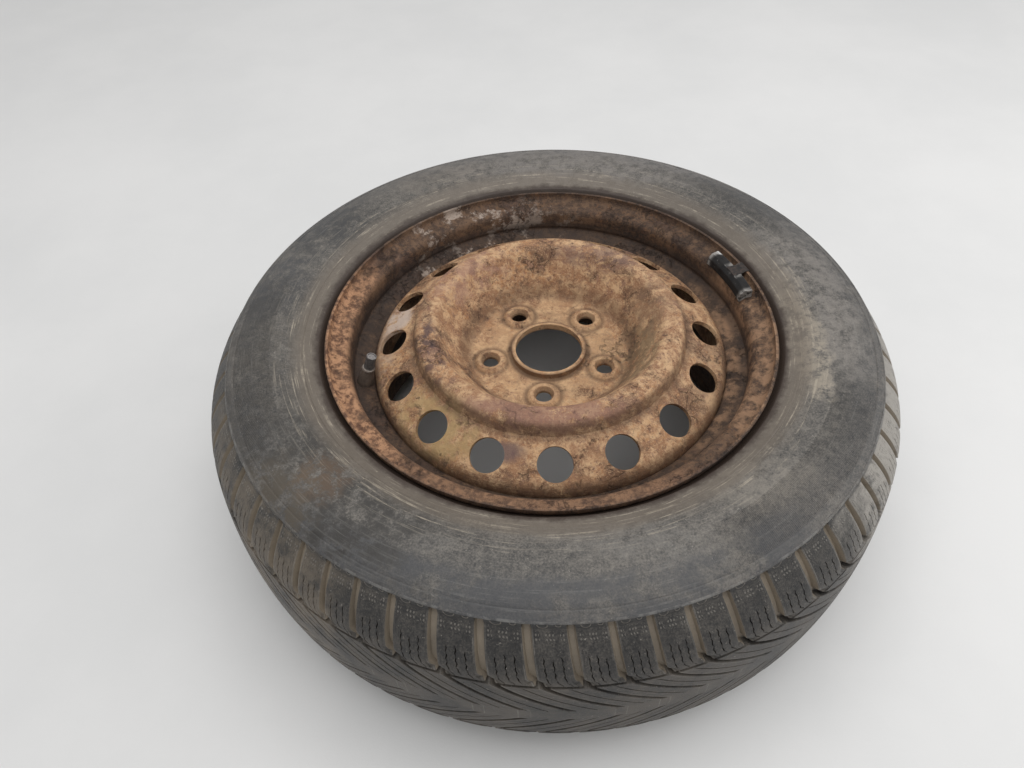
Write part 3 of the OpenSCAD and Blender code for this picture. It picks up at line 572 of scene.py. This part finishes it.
# Where the parts of the sidewall's finish begin and are full, as distances from the axis
CLEAN_FAR = (0.262, 0.274)
TAN_FAR = (0.243, 0.224)
ARCS_FAR = (0.262, 0.235)
SCRATCHES_FAR = (0.24, 0.27)
GAP_SHADE_FAR = (0.2205, 0.213)
SEAM_FAR = (0.2942, 0.2952)
RIBS_FAR = ((0.2535, 0.2545), (0.2875, 0.2865))
RIBS_PER_BLOCK = 20
sidewall_rubber, tree, shader = new_material("sidewall_rubber")
rubber = group_node(
    tree, RUBBER, Rubber=(0.03, 0.029, 0.029, 1), Dust=(0.215, 0.195, 0.17, 1), Dust_share=0.36
)
far, high, place = radius_and_height(tree)
along = around_the_tyre(tree)[0]
wander = noise(tree, place, 55.0, 10.0, 0.76)
ragged_far = math_of(tree, "MULTIPLY_ADD", wander, 0.016, math_of(tree, "SUBTRACT", far, 0.008))
patches = noise(tree, place, 17.0, 10.0, 0.7)
fine_patches = noise(tree, place, 85.0, 12.0, 0.8)
color = rubber["Color"]
# Clean rubber shows bluish black in a band near the tread, all along the front and in rubbed patches
band = product(tree, between(tree, ragged_far, *CLEAN_FAR), between(tree, patches, 0.66, 0.48))
front = spot(tree, (0.0, -0.27, 0.2), (0.3, 0.11, 0.1), 0.7)
clean = product(tree, band, math_of(tree, "MAXIMUM", front, 0.35), 0.7)
color = mix(tree, clean, color, (0.056, 0.058, 0.064, 1))
# Stains and painted shade on the sidewall, as the middle and reach of each, how much it covers and its colour
SIDE_STAINS_AND_SHADE = (
    # The first is a painted shadow on the upper left; the pale ones on the right and across the far side make
    # those sides paler
    ((-0.235, 0.13, 0.2), (0.05, 0.07, 0.05), 0.7, (0.035, 0.036, 0.039, 1)),
    ((-0.26, 0.04, 0.2), (0.035, 0.06, 0.05), 0.6, (0.05, 0.052, 0.058, 1)),
    ((-0.2, -0.13, 0.2), (0.15, 0.2, 0.05), 0.5, (0.062, 0.054, 0.045, 1)),
    ((-0.165, -0.19, 0.2), (0.11, 0.09, 0.05), 0.9, (0.036, 0.033, 0.03, 1)),
    ((-0.176, -0.186, 0.2), (0.03, 0.026, 0.05), 0.5, (0.15, 0.09, 0.05, 1)),
    ((-0.215, -0.2, 0.19), (0.05, 0.045, 0.05), 0.4, (0.14, 0.11, 0.075, 1)),
    ((-0.085, -0.242, 0.2), (0.02, 0.009, 0.05), 0.3, (0.28, 0.26, 0.235, 1)),
    ((0.06, -0.235, 0.2), (0.07, 0.02, 0.05), 0.3, (0.24, 0.225, 0.205, 1)),
    ((0.155, -0.17, 0.2), (0.05, 0.04, 0.05), 0.3, (0.21, 0.19, 0.165, 1)),
    ((0.235, 0.02, 0.2), (0.06, 0.13, 0.05), 0.5, (0.27, 0.245, 0.22, 1)),
    ((0.225, -0.03, 0.2), (0.02, 0.09, 0.05), 0.7, (0.36, 0.31, 0.24, 1)),
    ((0.15, -0.185, 0.2), (0.06, 0.03, 0.05), 0.35, (0.27, 0.24, 0.2, 1)),
    ((0.06, 0.25, 0.2), (0.22, 0.06, 0.05), 0.5, (0.23, 0.21, 0.195, 1)),
    ((-0.12, 0.225, 0.2), (0.07, 0.05, 0.05), 0.4, (0.19, 0.165, 0.14, 1)),
)
for middle, reach, cover, stain in SIDE_STAINS_AND_SHADE:
    torn = between(tree, fine_patches, 0.41, 0.56)
    color = mix(tree, product(tree, spot(tree, middle, reach, 1.3), torn, cover), color, stain)
# Brown dust on the slope above the bead, drawn out in thin pale arcs, and black painted shade in the gap
# beside the rim
tan_dust = math_of(tree, "MULTIPLY", between(tree, ragged_far, *TAN_FAR), 0.7)
color = mix(tree, tan_dust, color, (0.165, 0.135, 0.105, 1))
drawn_out = flat_point(
    tree, math_of(tree, "MULTIPLY", along, 0.35), math_of(tree, "MULTIPLY", far, 420.0)
)
streaks = between(tree, noise(tree, drawn_out, 1.0, 6.0, 0.7), 0.53, 0.63)
arcs = product(tree, streaks, between(tree, fine_patches, 0.4, 0.58))
near_bead = product(tree, arcs, between(tree, ragged_far, *ARCS_FAR), 0.8)
color = mix(tree, near_bead, color, (0.38, 0.33, 0.26, 1))
near_tread = product(tree, arcs, between(tree, ragged_far, *SCRATCHES_FAR), 0.2)
color = mix(tree, near_tread, color, (0.3, 0.29, 0.27, 1))
gap_shade_far = math_of(tree, "MULTIPLY_ADD", patches, 0.008, math_of(tree, "SUBTRACT", ragged_far, 0.004))
color = mix(tree, between(tree, gap_shade_far, *GAP_SHADE_FAR), color, (0.045, 0.03, 0.022, 1))
# The line where the mould's halves met is rubbed pale
seam = product(tree, between(tree, far, *SEAM_FAR), between(tree, fine_patches, 0.44, 0.58), 0.3)
color = mix(tree, seam, color, (0.36, 0.35, 0.33, 1))
# Fine ribs across the sidewall, moulded in three arcs, as the middle and reach of each
RIBBED = (
    ((-0.27, -0.06, 0.2), (0.08, 0.13, 0.1)),
    ((0.2, -0.17, 0.2), (0.12, 0.13, 0.1)),
    ((0.2, 0.17, 0.2), (0.1, 0.09, 0.1)),
)
ribs = math_of(tree, "SINE", math_of(tree, "MULTIPLY", along, RIBS_PER_BLOCK * 2 * math.pi))
ribbed_arcs = most(tree, *[spot(tree, middle, reach, 0.0) for middle, reach in RIBBED])
ribbed = product(tree, ribs, on_band(tree, far, *RIBS_FAR), ribbed_arcs)
height = math_of(tree, "MULTIPLY_ADD", ribbed, 0.4, rubber["Height"])
coat(tree, shader, color, rubber["Roughness"], height, 0.0007)
tyre_casing.data.materials.append(sidewall_rubber)
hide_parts("tyre")
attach(tyre_casing, "wheel")

# Tread
# The tread is the same moulding's thick outer band. Deep grooves part its shoulder blocks and bend into a V
# that rolls forwards, a thin groove runs around below the blocks, and narrow sipes cut the blocks to grip on
# snow. Heights are measured from the tyre's middle.
TYRE_R = 0.3245
CROWN_CURVE = 0.35
CROWN_HALF = 0.046
EDGE_SLOPE_H = 0.005
EDGE_SLOPE_OUT = 0.0008
PITCH_WAVES = 8
PITCH_SWING = math.radians(0.8)
LONGEST_AT = math.radians(-55)
GROOVE_DEPTH = 0.007
RING_GROOVE_AT = 0.046
RING_GROOVE_HALF = 0.0012
RING_GROOVE_DEPTH = 0.0055
MIDDLE_RIB = 0.008
SLANT = math.tan(math.radians(59.5))
BEND_FROM = 0.0575
BEND_R = 0.012
LEAN = math.tan(math.radians(9))
BLOCK_FOOT = 0.0485
BLOCK_TOP = 0.0885
MIDDLE_FROM = 0.0085
MIDDLE_TO = 0.043
SIPES = (0.3, 0.5, 0.7)
SIPE_HALF = 0.016
SIPE_WAVE = 0.012
SIPE_DEPTH = 0.0026
SIPE_TOP = 0.072
MIDDLE_SIPE = 1
MIDDLE_SIPE_WIDER = 0.012
MIDDLE_SIPE_DEPTH = 0.0028
MIDDLE_NARROWER = 0.85
CORNER_DEPTH = 0.0032
# The groove's edges, as shares of the block's length and of the groove's depth
GROOVE_EDGES = ((-0.12, 0), (-0.1, 0.06), (-0.072, 1), (0.072, 1), (0.1, 0.06), (0.12, 0))
GROOVE_REACH = 0.14


def groove_turn(number):
    """Turn of a groove: the blocks vary in length, so that the tyre runs quietly."""
    even = FIRST_GROOVE + number * 2 * math.pi / TREAD_BLOCKS
    return even + PITCH_SWING * np.sin(PITCH_WAVES * (even - LONGEST_AT))


def tread_radius(height):
    """Radius of the tread's surface at a height from its middle: a flat curve, rounder at the shoulders."""
    past_crown = np.maximum(abs(height) - CROWN_HALF, 0)
    return TYRE_R - height**2 / (2 * CROWN_CURVE) - past_crown**2 / (2 * shoulder_curve)


edge_height = side_height(EDGE_R)
block_top = edge_height - EDGE_SLOPE_H
shoulder_fall = TYRE_R - EDGE_R - EDGE_SLOPE_OUT - block_top**2 / (2 * CROWN_CURVE)
shoulder_curve = (block_top - CROWN_HALF) ** 2 / (2 * shoulder_fall)
shoulder = [(EDGE_R - 0.0002, edge_height - 0.0006), (EDGE_R + 0.0003, edge_height - 0.0018)]
shoulder.append((EDGE_R + EDGE_SLOPE_OUT * 0.8, edge_height - EDGE_SLOPE_H * 0.7))
block_heights = list(np.linspace(block_top, BLOCK_FOOT + 0.001, 16))
ring_heights = [RING_GROOVE_AT + offset for offset in (0.0016, 0.001, -0.001, -0.0016)]
middle_heights = list(np.arange(0.0415, 0.0105, -0.0027)) + [0.0092, MIDDLE_RIB, 0.0045]
half = np.array(shoulder + [(tread_radius(h), h) for h in block_heights + ring_heights + middle_heights])
outer = np.concatenate([half, [(TYRE_R, 0)], half[::-1] * (1, -1)])
below = np.array([(0.2885, 0.083), (0.2945, 0.073), (0.303, 0.058)])
line = np.concatenate([outer, below * (1, -1), [(0.312, 0)], below[::-1]])
slope = np.gradient(line, axis=0)
normal = np.stack([-slope[:, 1], slope[:, 0]], axis=1)
normal /= np.linalg.norm(normal, axis=1)[:, None]
from_middle = abs(line[:, 1])
is_outer = np.arange(len(line)) < len(outer)
below_edge = edge_height - from_middle
shallow = np.clip(below_edge / (edge_height - RING_GROOVE_AT), 0, 1)
groove_depth = GROOVE_DEPTH * np.minimum(0.5 + 0.5 * shallow, below_edge / 0.0035)
groove_depth *= is_outer * np.clip((from_middle - MIDDLE_RIB) / 0.0025, 0, 1)
is_ring = is_outer & (abs(from_middle - RING_GROOVE_AT) < RING_GROOVE_HALF)
on_block = (is_outer & (from_middle > BLOCK_FOOT) & (from_middle < BLOCK_TOP))[:, None]
in_middle = (is_outer & (from_middle < MIDDLE_TO) & (from_middle > MIDDLE_FROM))[:, None]
# Turn of the grooves' path away from the shoulder, at each row
past_bend = np.clip(BEND_FROM - np.maximum(from_middle, MIDDLE_RIB), 0, 1)
before_bend = np.clip(from_middle - BEND_FROM, 0, 1)
path = ((np.sqrt(past_bend**2 + BEND_R**2) - BEND_R) * SLANT - before_bend * LEAN) / TYRE_R
# Columns of one block, as share of its length, share of the groove's depth, sipe's number and sipe's side
columns = [(share, depth, -1, 0) for share, depth in GROOVE_EDGES]
columns += [(share, 0, -1, 0) for share in (0.215, 0.8)]
for number, share in enumerate(SIPES):
    columns += [(share + side * SIPE_HALF, 0, number, side) for side in (-1, 0, 1)]
columns.sort()
share, depth, sipe, sipe_side = (np.tile(values, TREAD_BLOCKS)[None, :] for values in zip(*columns))
block = np.repeat(np.arange(TREAD_BLOCKS), len(columns))[None, :]
rows = np.arange(len(line))[:, None]
# In the middle of the tread the grooves are narrower, and the second sipe is a thin groove. On the blocks the
# sipes run in a zigzag.
narrow = np.where(from_middle < RING_GROOVE_AT, MIDDLE_NARROWER, 1.0)[:, None]
wide_share = np.where(abs(share) < GROOVE_REACH, share * narrow, share)
middle_sipe = (sipe == MIDDLE_SIPE) & in_middle
wide_share = wide_share + middle_sipe * sipe_side * MIDDLE_SIPE_WIDER
wave = np.where(rows % 2 == 0, 1, -1) * SIPE_WAVE
wide_share = wide_share + ((sipe >= 0) & on_block) * wave
turns = groove_turn(block + wide_share) + path[:, None]
# How deep each point lies. The sipes are cut in dashes, up to a part of the block's height.
deep = depth * groove_depth[:, None]
open_here = (rows + sipe * 2 + block) % 3 != 0
cut = (sipe >= 0) & (sipe_side == 0)
low_on_block = (from_middle < SIPE_TOP)[:, None]
deep = deep + np.where(cut & on_block & low_on_block & open_here, SIPE_DEPTH, 0)
deep = deep + np.where(middle_sipe & cut, MIDDLE_SIPE_DEPTH, 0)
# The blocks' lower corners are rounded off
near_foot = np.clip((0.0555 - from_middle) / 0.007, 0, 1)[:, None] ** 1.5
near_side = np.clip((0.26 - abs(share)) / 0.13, 0, 1)
deep = deep + np.where(on_block & (depth < 0.5), near_foot * near_side * CORNER_DEPTH, 0)
deep = np.where(is_ring[:, None], np.maximum(deep, RING_GROOVE_DEPTH), deep)
sink = -normal[:, None, :] * deep[..., None]
distance = lengths_along(line)
middle_row = len(half)
tyre_tread = ring_mesh("tyre_tread", line, sink, turns, block + wide_share, distance[middle_row] - distance)
bpy.ops.object.shade_smooth_by_angle(angle=math.radians(32))


def in_repeat(tree, value):
    """A value's place in a pattern that repeats at each whole number, from minus a half to a half."""
    return math_of(tree, "SUBTRACT", math_of(tree, "FRACT", value), 0.5)


def from_repeat_middle(tree, value):
    """The same place as a distance from the repeat's middle."""
    return math_of(tree, "ABSOLUTE", in_repeat(tree, value))


# Where the parts of the tread's finish begin and are full: heights from the tyre's middle, depths below its
# edge, and shares of a block's length from the middle of a groove
DUSTY_HEIGHT = (0.066, 0.045)
GROOVE_DUST = (0.115, 0.09)
GROOVE_DUST_HEIGHT = (0.043, 0.05)
RUBBED_EDGE = ((0.112, 0.124), (0.15, 0.13))
BLACK_STRIP = (0.0062, 0.004)
SCALLOPS = ((0.36, 0.0042), (0.72, 0.0026))
SCALLOP_TOP = 0.0012
SCALLOPS_FROM = (0.001, 0.0016)
BLOCK_LENGTH = 2 * math.pi * EDGE_R / TREAD_BLOCKS
DOTS_PER_BLOCK = 13.0
DOTS_PER_METRE = 420.0
DOT_GROUPS_PER_BLOCK = 3.0
DOTS_BELOW = ((0.0062, 0.0066), (0.0128, 0.0124))
DASHES_PER_BLOCK = 14.0
DASHES_HEIGHT = (0.048, 0.05)
DASHES_BELOW = (0.011, 0.013)
TICKS_HEIGHT = ((0.043, 0.041), (0.009, 0.011))
TICKS_BESIDE = ((0.08, 0.1), (0.3, 0.27))
tread_rubber, tree, shader = new_material("tread_rubber")
rubber = group_node(
    tree, RUBBER, Rubber=(0.016, 0.0155, 0.0155, 1), Dust=(0.13, 0.116, 0.1, 1), Dust_share=0.12
)
far, high, place = radius_and_height(tree)
along = around_the_tyre(tree)[0]
from_middle = math_of(tree, "ABSOLUTE", math_of(tree, "SUBTRACT", high, float(tyre_mid)))
below_edge = math_of(tree, "SUBTRACT", float(edge_height), from_middle)
block_share = math_of(tree, "FRACT", along)
from_groove = from_repeat_middle(tree, math_of(tree, "ADD", along, 0.5))
patches = noise(tree, place, 26.0, 10.0, 0.74)
color = rubber["Color"]
# The middle of the tread is browner with road dust than its blocks, and the left is browner than the right
dusty = product(tree, between(tree, from_middle, *DUSTY_HEIGHT), between(tree, patches, 0.36, 0.6), 0.45)
color = mix(tree, dusty, color, (0.13, 0.108, 0.086, 1))
left = spot(tree, (-0.25, -0.22, 0.15), (0.14, 0.16, 0.12), 1.0)
color = mix(tree, product(tree, left, between(tree, patches, 0.38, 0.6), 0.5), color, (0.2, 0.16, 0.115, 1))
# The right side is painted pale grey: painted light falling from the right
right = spot(tree, (0.3, -0.1, 0.18), (0.1, 0.2, 0.08), 1.0)
color = mix(tree, product(tree, right, between(tree, patches, 0.34, 0.5), 0.9), color, (0.34, 0.315, 0.28, 1))
# Pale dust lies in the grooves between the shoulder blocks
on_shoulder = between(tree, from_middle, *GROOVE_DUST_HEIGHT)
in_groove = product(tree, between(tree, from_groove, *GROOVE_DUST), on_shoulder)
dust_in = product(tree, in_groove, math_of(tree, "MULTIPLY_ADD", patches, 0.9, 0.3))
color = mix(tree, dust_in, color, (0.3, 0.25, 0.19, 1))
# Edges of the blocks are rubbed pale
rubbed = product(tree, on_band(tree, from_groove, *RUBBED_EDGE), between(tree, patches, 0.42, 0.62), 0.45)
color = mix(tree, rubbed, color, (0.27, 0.25, 0.22, 1))
# The strip under the edge stays black, as what falls on it is rubbed off
strip = product(tree, between(tree, below_edge, *BLACK_STRIP), between(tree, patches, 0.66, 0.45), 0.75)
color = mix(tree, strip, color, (0.03, 0.029, 0.029, 1))
# Half-round mouldings hang from the blocks' upper edge, a large and a small one on each block
height = rubber["Height"]
for share, radius in SCALLOPS:
    sideways = math_of(tree, "MULTIPLY", math_of(tree, "SUBTRACT", block_share, share), BLOCK_LENGTH)
    downwards = math_of(tree, "SUBTRACT", below_edge, SCALLOP_TOP)
    away = vector_of(tree, "LENGTH", flat_point(tree, sideways, downwards))
    within = between(tree, away, radius, radius - 0.0006)
    inside = product(tree, within, between(tree, below_edge, *SCALLOPS_FROM))
    rim_line = product(tree, inside, between(tree, away, radius - 0.0014, radius - 0.0006))
    height = math_of(tree, "MULTIPLY_ADD", inside, 1.6, height)
    color = mix(tree, math_of(tree, "MULTIPLY", rim_line, 0.6), color, (0.3, 0.27, 0.23, 1))
# Groups of small raised dots stand below them
dot_x = in_repeat(tree, math_of(tree, "MULTIPLY", along, DOTS_PER_BLOCK))
dot_y = in_repeat(tree, math_of(tree, "MULTIPLY", below_edge, DOTS_PER_METRE))
dot = between(tree, vector_of(tree, "LENGTH", flat_point(tree, dot_x, dot_y)), 0.36, 0.22)
dot_group = from_repeat_middle(tree, math_of(tree, "MULTIPLY", along, DOT_GROUPS_PER_BLOCK))
dots = product(tree, dot, on_band(tree, below_edge, *DOTS_BELOW))
dots = product(tree, dots, between(tree, from_groove, 0.15, 0.17), between(tree, dot_group, 0.33, 0.3))
height = math_of(tree, "MULTIPLY_ADD", dots, 1.1, height)
color = mix(tree, math_of(tree, "MULTIPLY", dots, 0.45), color, (0.26, 0.24, 0.21, 1))
# Faint dashes run up the blocks, and short ticks cross the slanted ribs
dash = from_repeat_middle(tree, math_of(tree, "MULTIPLY", along, DASHES_PER_BLOCK))
drawn_up = flat_point(tree, math_of(tree, "MULTIPLY", along, 9.0), math_of(tree, "MULTIPLY", high, 260.0))
broken = noise(tree, drawn_up, 1.0, 2.0)
dashes = product(tree, between(tree, dash, 0.09, 0.04), between(tree, broken, 0.5, 0.55))
on_block = product(tree, between(tree, from_middle, *DASHES_HEIGHT), between(tree, below_edge, *DASHES_BELOW))
dashes = product(tree, dashes, on_block, between(tree, from_groove, 0.14, 0.16))
slanted = math_of(tree, "MULTIPLY_ADD", along, 2.6, math_of(tree, "MULTIPLY", from_middle, 150.0))
tick = between(tree, math_of(tree, "FRACT", slanted), 0.14, 0.08)
ticks = product(tree, tick, on_band(tree, from_middle, *TICKS_HEIGHT))
ticks = product(tree, ticks, on_band(tree, from_repeat_middle(tree, along), *TICKS_BESIDE))
lines = math_of(tree, "MAXIMUM", math_of(tree, "MULTIPLY", dashes, 0.6), ticks)
height = math_of(tree, "MULTIPLY_ADD", lines, -1.4, height)
color = mix(tree, math_of(tree, "MULTIPLY", lines, 0.8), color, (0.018, 0.017, 0.016, 1))
coat(tree, shader, color, rubber["Roughness"], height, 0.0006)
tyre_tread.data.materials.append(tread_rubber)
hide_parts("tyre")
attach(tyre_tread, "wheel")

# Valve
# A rubber body snapped into the rim, a brass stem moulded into it, and a screwed-in core with its pin and
# spring. The cap is grey moulded plastic with a ribbed skirt, screwed on. All of it is dusty, and the rubber
# is brown with dirt.
COLLAR_HIGH = (0.1785, 0.1795)
COLLAR_FAR = (0.166, 0.1675)
valve_rubber, tree, shader = new_material("valve_rubber")
rubber = group_node(
    tree, RUBBER, Rubber=(0.035, 0.031, 0.03, 1), Dust=(0.17, 0.125, 0.095, 1), Dust_share=0.5
)
far, high, place = radius_and_height(tree)
# The collar's upper edge is painted pale: a painted highlight where it catches the light
collar_highlight = product(tree, between(tree, high, *COLLAR_HIGH), between(tree, far, *COLLAR_FAR), 0.5)
color = mix(tree, collar_highlight, rubber["Color"], (0.42, 0.37, 0.33, 1))
coat(tree, shader, color, rubber["Roughness"], rubber["Height"], 0.0002)
for name in ("valve_body", "core_seal", "cap_gasket"):
    dress(name, valve_rubber)

# The cap's top, which faces up, is painted much paler than its skirt: dust, and a painted reflection of the
# light above
cap_plastic, tree, shader = new_material("cap_plastic")
place = place_of(tree)
dust = between(tree, noise(tree, place, 420.0, 6.0, 0.7), 0.4, 0.62)
facing = tree.nodes.new("ShaderNodeNewGeometry").outputs["Normal"]
facing_up = add_node(tree, "ShaderNodeSeparateXYZ", {0: facing}).outputs[2]
on_top = math_of(tree, "MULTIPLY", between(tree, facing_up, 0.75, 0.95), 0.75)
skirt_color = mix(tree, dust, (0.055, 0.053, 0.055, 1), (0.13, 0.12, 0.112, 1))
top_color = mix(tree, dust, (0.2, 0.185, 0.18, 1), (0.34, 0.31, 0.3, 1))
color = mix(tree, on_top, skirt_color, top_color)
roughness = math_of(tree, "MULTIPLY_ADD", dust, 0.3, 0.45)
coat(tree, shader, color, roughness, noise(tree, place, 900.0, 4.0), 0.0001, 0.6)
dress("valve_cap", cap_plastic)


def metal(name, dark, light, metallic, roughness):
    """Dull metal with tarnish in spots and fine scratches."""
    material, tree, shader = new_material(name)
    place = place_of(tree)
    tarnish = between(tree, noise(tree, place, 300.0, 8.0, 0.7), 0.42, 0.6)
    stretched = vector_of(tree, "MULTIPLY", place, (60.0, 900.0, 900.0))
    scratches = noise(tree, stretched, 1.0, 4.0, 0.7)
    color = mix(tree, tarnish, light, dark)
    shader.inputs["Metallic"].default_value = metallic
    coat(tree, shader, color, math_of(tree, "MULTIPLY_ADD", tarnish, 0.3, roughness), scratches, 0.0001, 0.5)
    return material


brass = metal("brass", (0.24, 0.16, 0.07, 1), (0.62, 0.45, 0.2, 1), 0.9, 0.32)
steel = metal("core_steel", (0.3, 0.29, 0.27, 1), (0.6, 0.59, 0.57, 1), 0.95, 0.3)
for name in ("valve_stem", "core_plug", "core_barrel", "core_cup"):
    dress(name, brass)
for name in ("core_pin", "core_spring"):
    dress(name, steel)
core_plastic, tree, shader = new_material("core_plastic")
tint = between(tree, noise(tree, place_of(tree), 700.0, 4.0), 0.35, 0.65)
feed(tree, shader.inputs["Base Color"], mix(tree, tint, (0.4, 0.07, 0.055, 1), (0.52, 0.12, 0.09, 1)))
shader.inputs["Roughness"].default_value = 0.5
dress("core_gasket", core_plastic)
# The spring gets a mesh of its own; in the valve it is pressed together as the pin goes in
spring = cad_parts["core_spring"]
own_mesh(spring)

# Balance weight
# A bar of lead, cast with a groove for a spring steel clip that grips the flange. It is black with grime, its
# edges are painted pale grey as painted highlights, and one end is scraped bright.
weight_lead, tree, shader = new_material("weight_lead")
place = place_of(tree)
patches = noise(tree, place, 160.0, 10.0, 0.76)
grime = between(tree, patches, 0.4, 0.62)
color = mix(tree, grime, (0.009, 0.0085, 0.009, 1), (0.022, 0.02, 0.019, 1))
# The sharp edges are painted pale grey: painted highlights
edge = tree.nodes.new("ShaderNodeNewGeometry").outputs["Pointiness"]
rubbed = product(tree, between(tree, edge, 0.51, 0.57), between(tree, patches, 0.36, 0.52), 0.85)
color = mix(tree, rubbed, color, (0.34, 0.32, 0.3, 1))
chips = between(tree, noise(tree, place, 240.0, 6.0, 0.8), 0.64, 0.7)
color = mix(tree, math_of(tree, "MULTIPLY", chips, 0.7), color, (0.42, 0.41, 0.39, 1))
bright_end = spot(tree, (0.175, 0.1, 0.199), (0.008, 0.005, 0.01), 1.2)
scraped = product(tree, bright_end, between(tree, patches, 0.4, 0.5), 0.8)
color = mix(tree, scraped, color, (0.72, 0.71, 0.7, 1))
shader.inputs["Specular IOR Level"].default_value = 0.25
coat(tree, shader, color, math_of(tree, "MULTIPLY_ADD", grime, 0.25, 0.5), patches, 0.0007)
dress("balance_weight", weight_lead)

clip_steel, tree, shader = new_material("clip_steel")
place = place_of(tree)
patches = noise(tree, place, 260.0, 10.0, 0.76)
color = mix(tree, between(tree, patches, 0.42, 0.6), (0.022, 0.019, 0.018, 1), (0.06, 0.042, 0.034, 1))
color = mix(tree, between(tree, patches, 0.62, 0.68), color, (0.4, 0.36, 0.32, 1))
shader.inputs["Metallic"].default_value = 0.3
coat(tree, shader, color, 0.55, patches, 0.0003)
dress("weight_clip", clip_steel)

# Floor, lamps and camera
# A plain pale floor under soft light from above and a little from the right, as in a photo studio. The camera
# stands where the photograph was taken from.
FLOOR_HALF = 6.0
bpy.ops.mesh.primitive_plane_add(size=FLOOR_HALF * 2, location=(0, 0, 0))
floor = bpy.context.object
floor.name = "floor"
floor_paint, tree, shader = new_material("floor_paint")
place = place_of(tree)
cloud = between(tree, noise(tree, place, 3.0, 6.0), 0.3, 0.7)
color = mix(tree, cloud, (0.73, 0.73, 0.725, 1), (0.78, 0.777, 0.77, 1))
coat(tree, shader, color, 0.6, noise(tree, place, 500.0, 3.0), 0.0002, 0.4)
floor.data.materials.append(floor_paint)

world = bpy.data.worlds.new("studio")
world.use_nodes = True
background = world.node_tree.nodes["Background"].inputs
background["Color"].default_value = (1, 1, 1, 1)
background["Strength"].default_value = 0.56
bpy.context.scene.world = world


def soft_lamp(name, place, aim, size, watts):
    """A square softbox that shines at a point."""
    lamp = bpy.data.lights.new(name, "AREA")
    lamp.shape = "SQUARE"
    lamp.size = size
    lamp.energy = watts
    made = bpy.data.objects.new(name, lamp)
    made.location = place
    made.rotation_euler = (Vector(aim) - Vector(place)).to_track_quat("-Z", "Y").to_euler()
    bpy.context.collection.objects.link(made)


soft_lamp("ceiling_lamp", (0.15, -0.1, 2.3), (0, 0, 0.1), 2.2, 29)
soft_lamp("side_lamp", (1.9, 0.2, 1.0), (0, 0, 0.1), 1.2, 8)

CAMERA_PLACE = (0, -0.52499, 0.69549)
CAMERA_PITCH = math.radians(47.99)
CAMERA_YAW = math.radians(-4.06)
CAMERA_ROLL = math.radians(-2.98)
LENS = 27.18
SENSOR_WIDTH = 36
level_ahead = Vector((math.sin(CAMERA_YAW), math.cos(CAMERA_YAW), 0))
ahead = level_ahead * math.cos(CAMERA_PITCH) - Vector((0, 0, math.sin(CAMERA_PITCH)))
level_right = Vector((math.cos(CAMERA_YAW), -math.sin(CAMERA_YAW), 0))
level_up = level_right.cross(ahead)
right = level_right * math.cos(CAMERA_ROLL) + level_up * math.sin(CAMERA_ROLL)
upward = level_up * math.cos(CAMERA_ROLL) - level_right * math.sin(CAMERA_ROLL)
camera_data = bpy.data.cameras.new("camera")
camera_data.sensor_width = SENSOR_WIDTH
camera_data.lens = LENS
camera = bpy.data.objects.new("camera", camera_data)
turned = Matrix((right, upward, -ahead)).transposed().to_4x4()
camera.matrix_world = Matrix.Translation(CAMERA_PLACE) @ turned
bpy.context.collection.objects.link(camera)
bpy.context.scene.camera = camera
bpy.context.scene.view_settings.view_transform = "Standard"
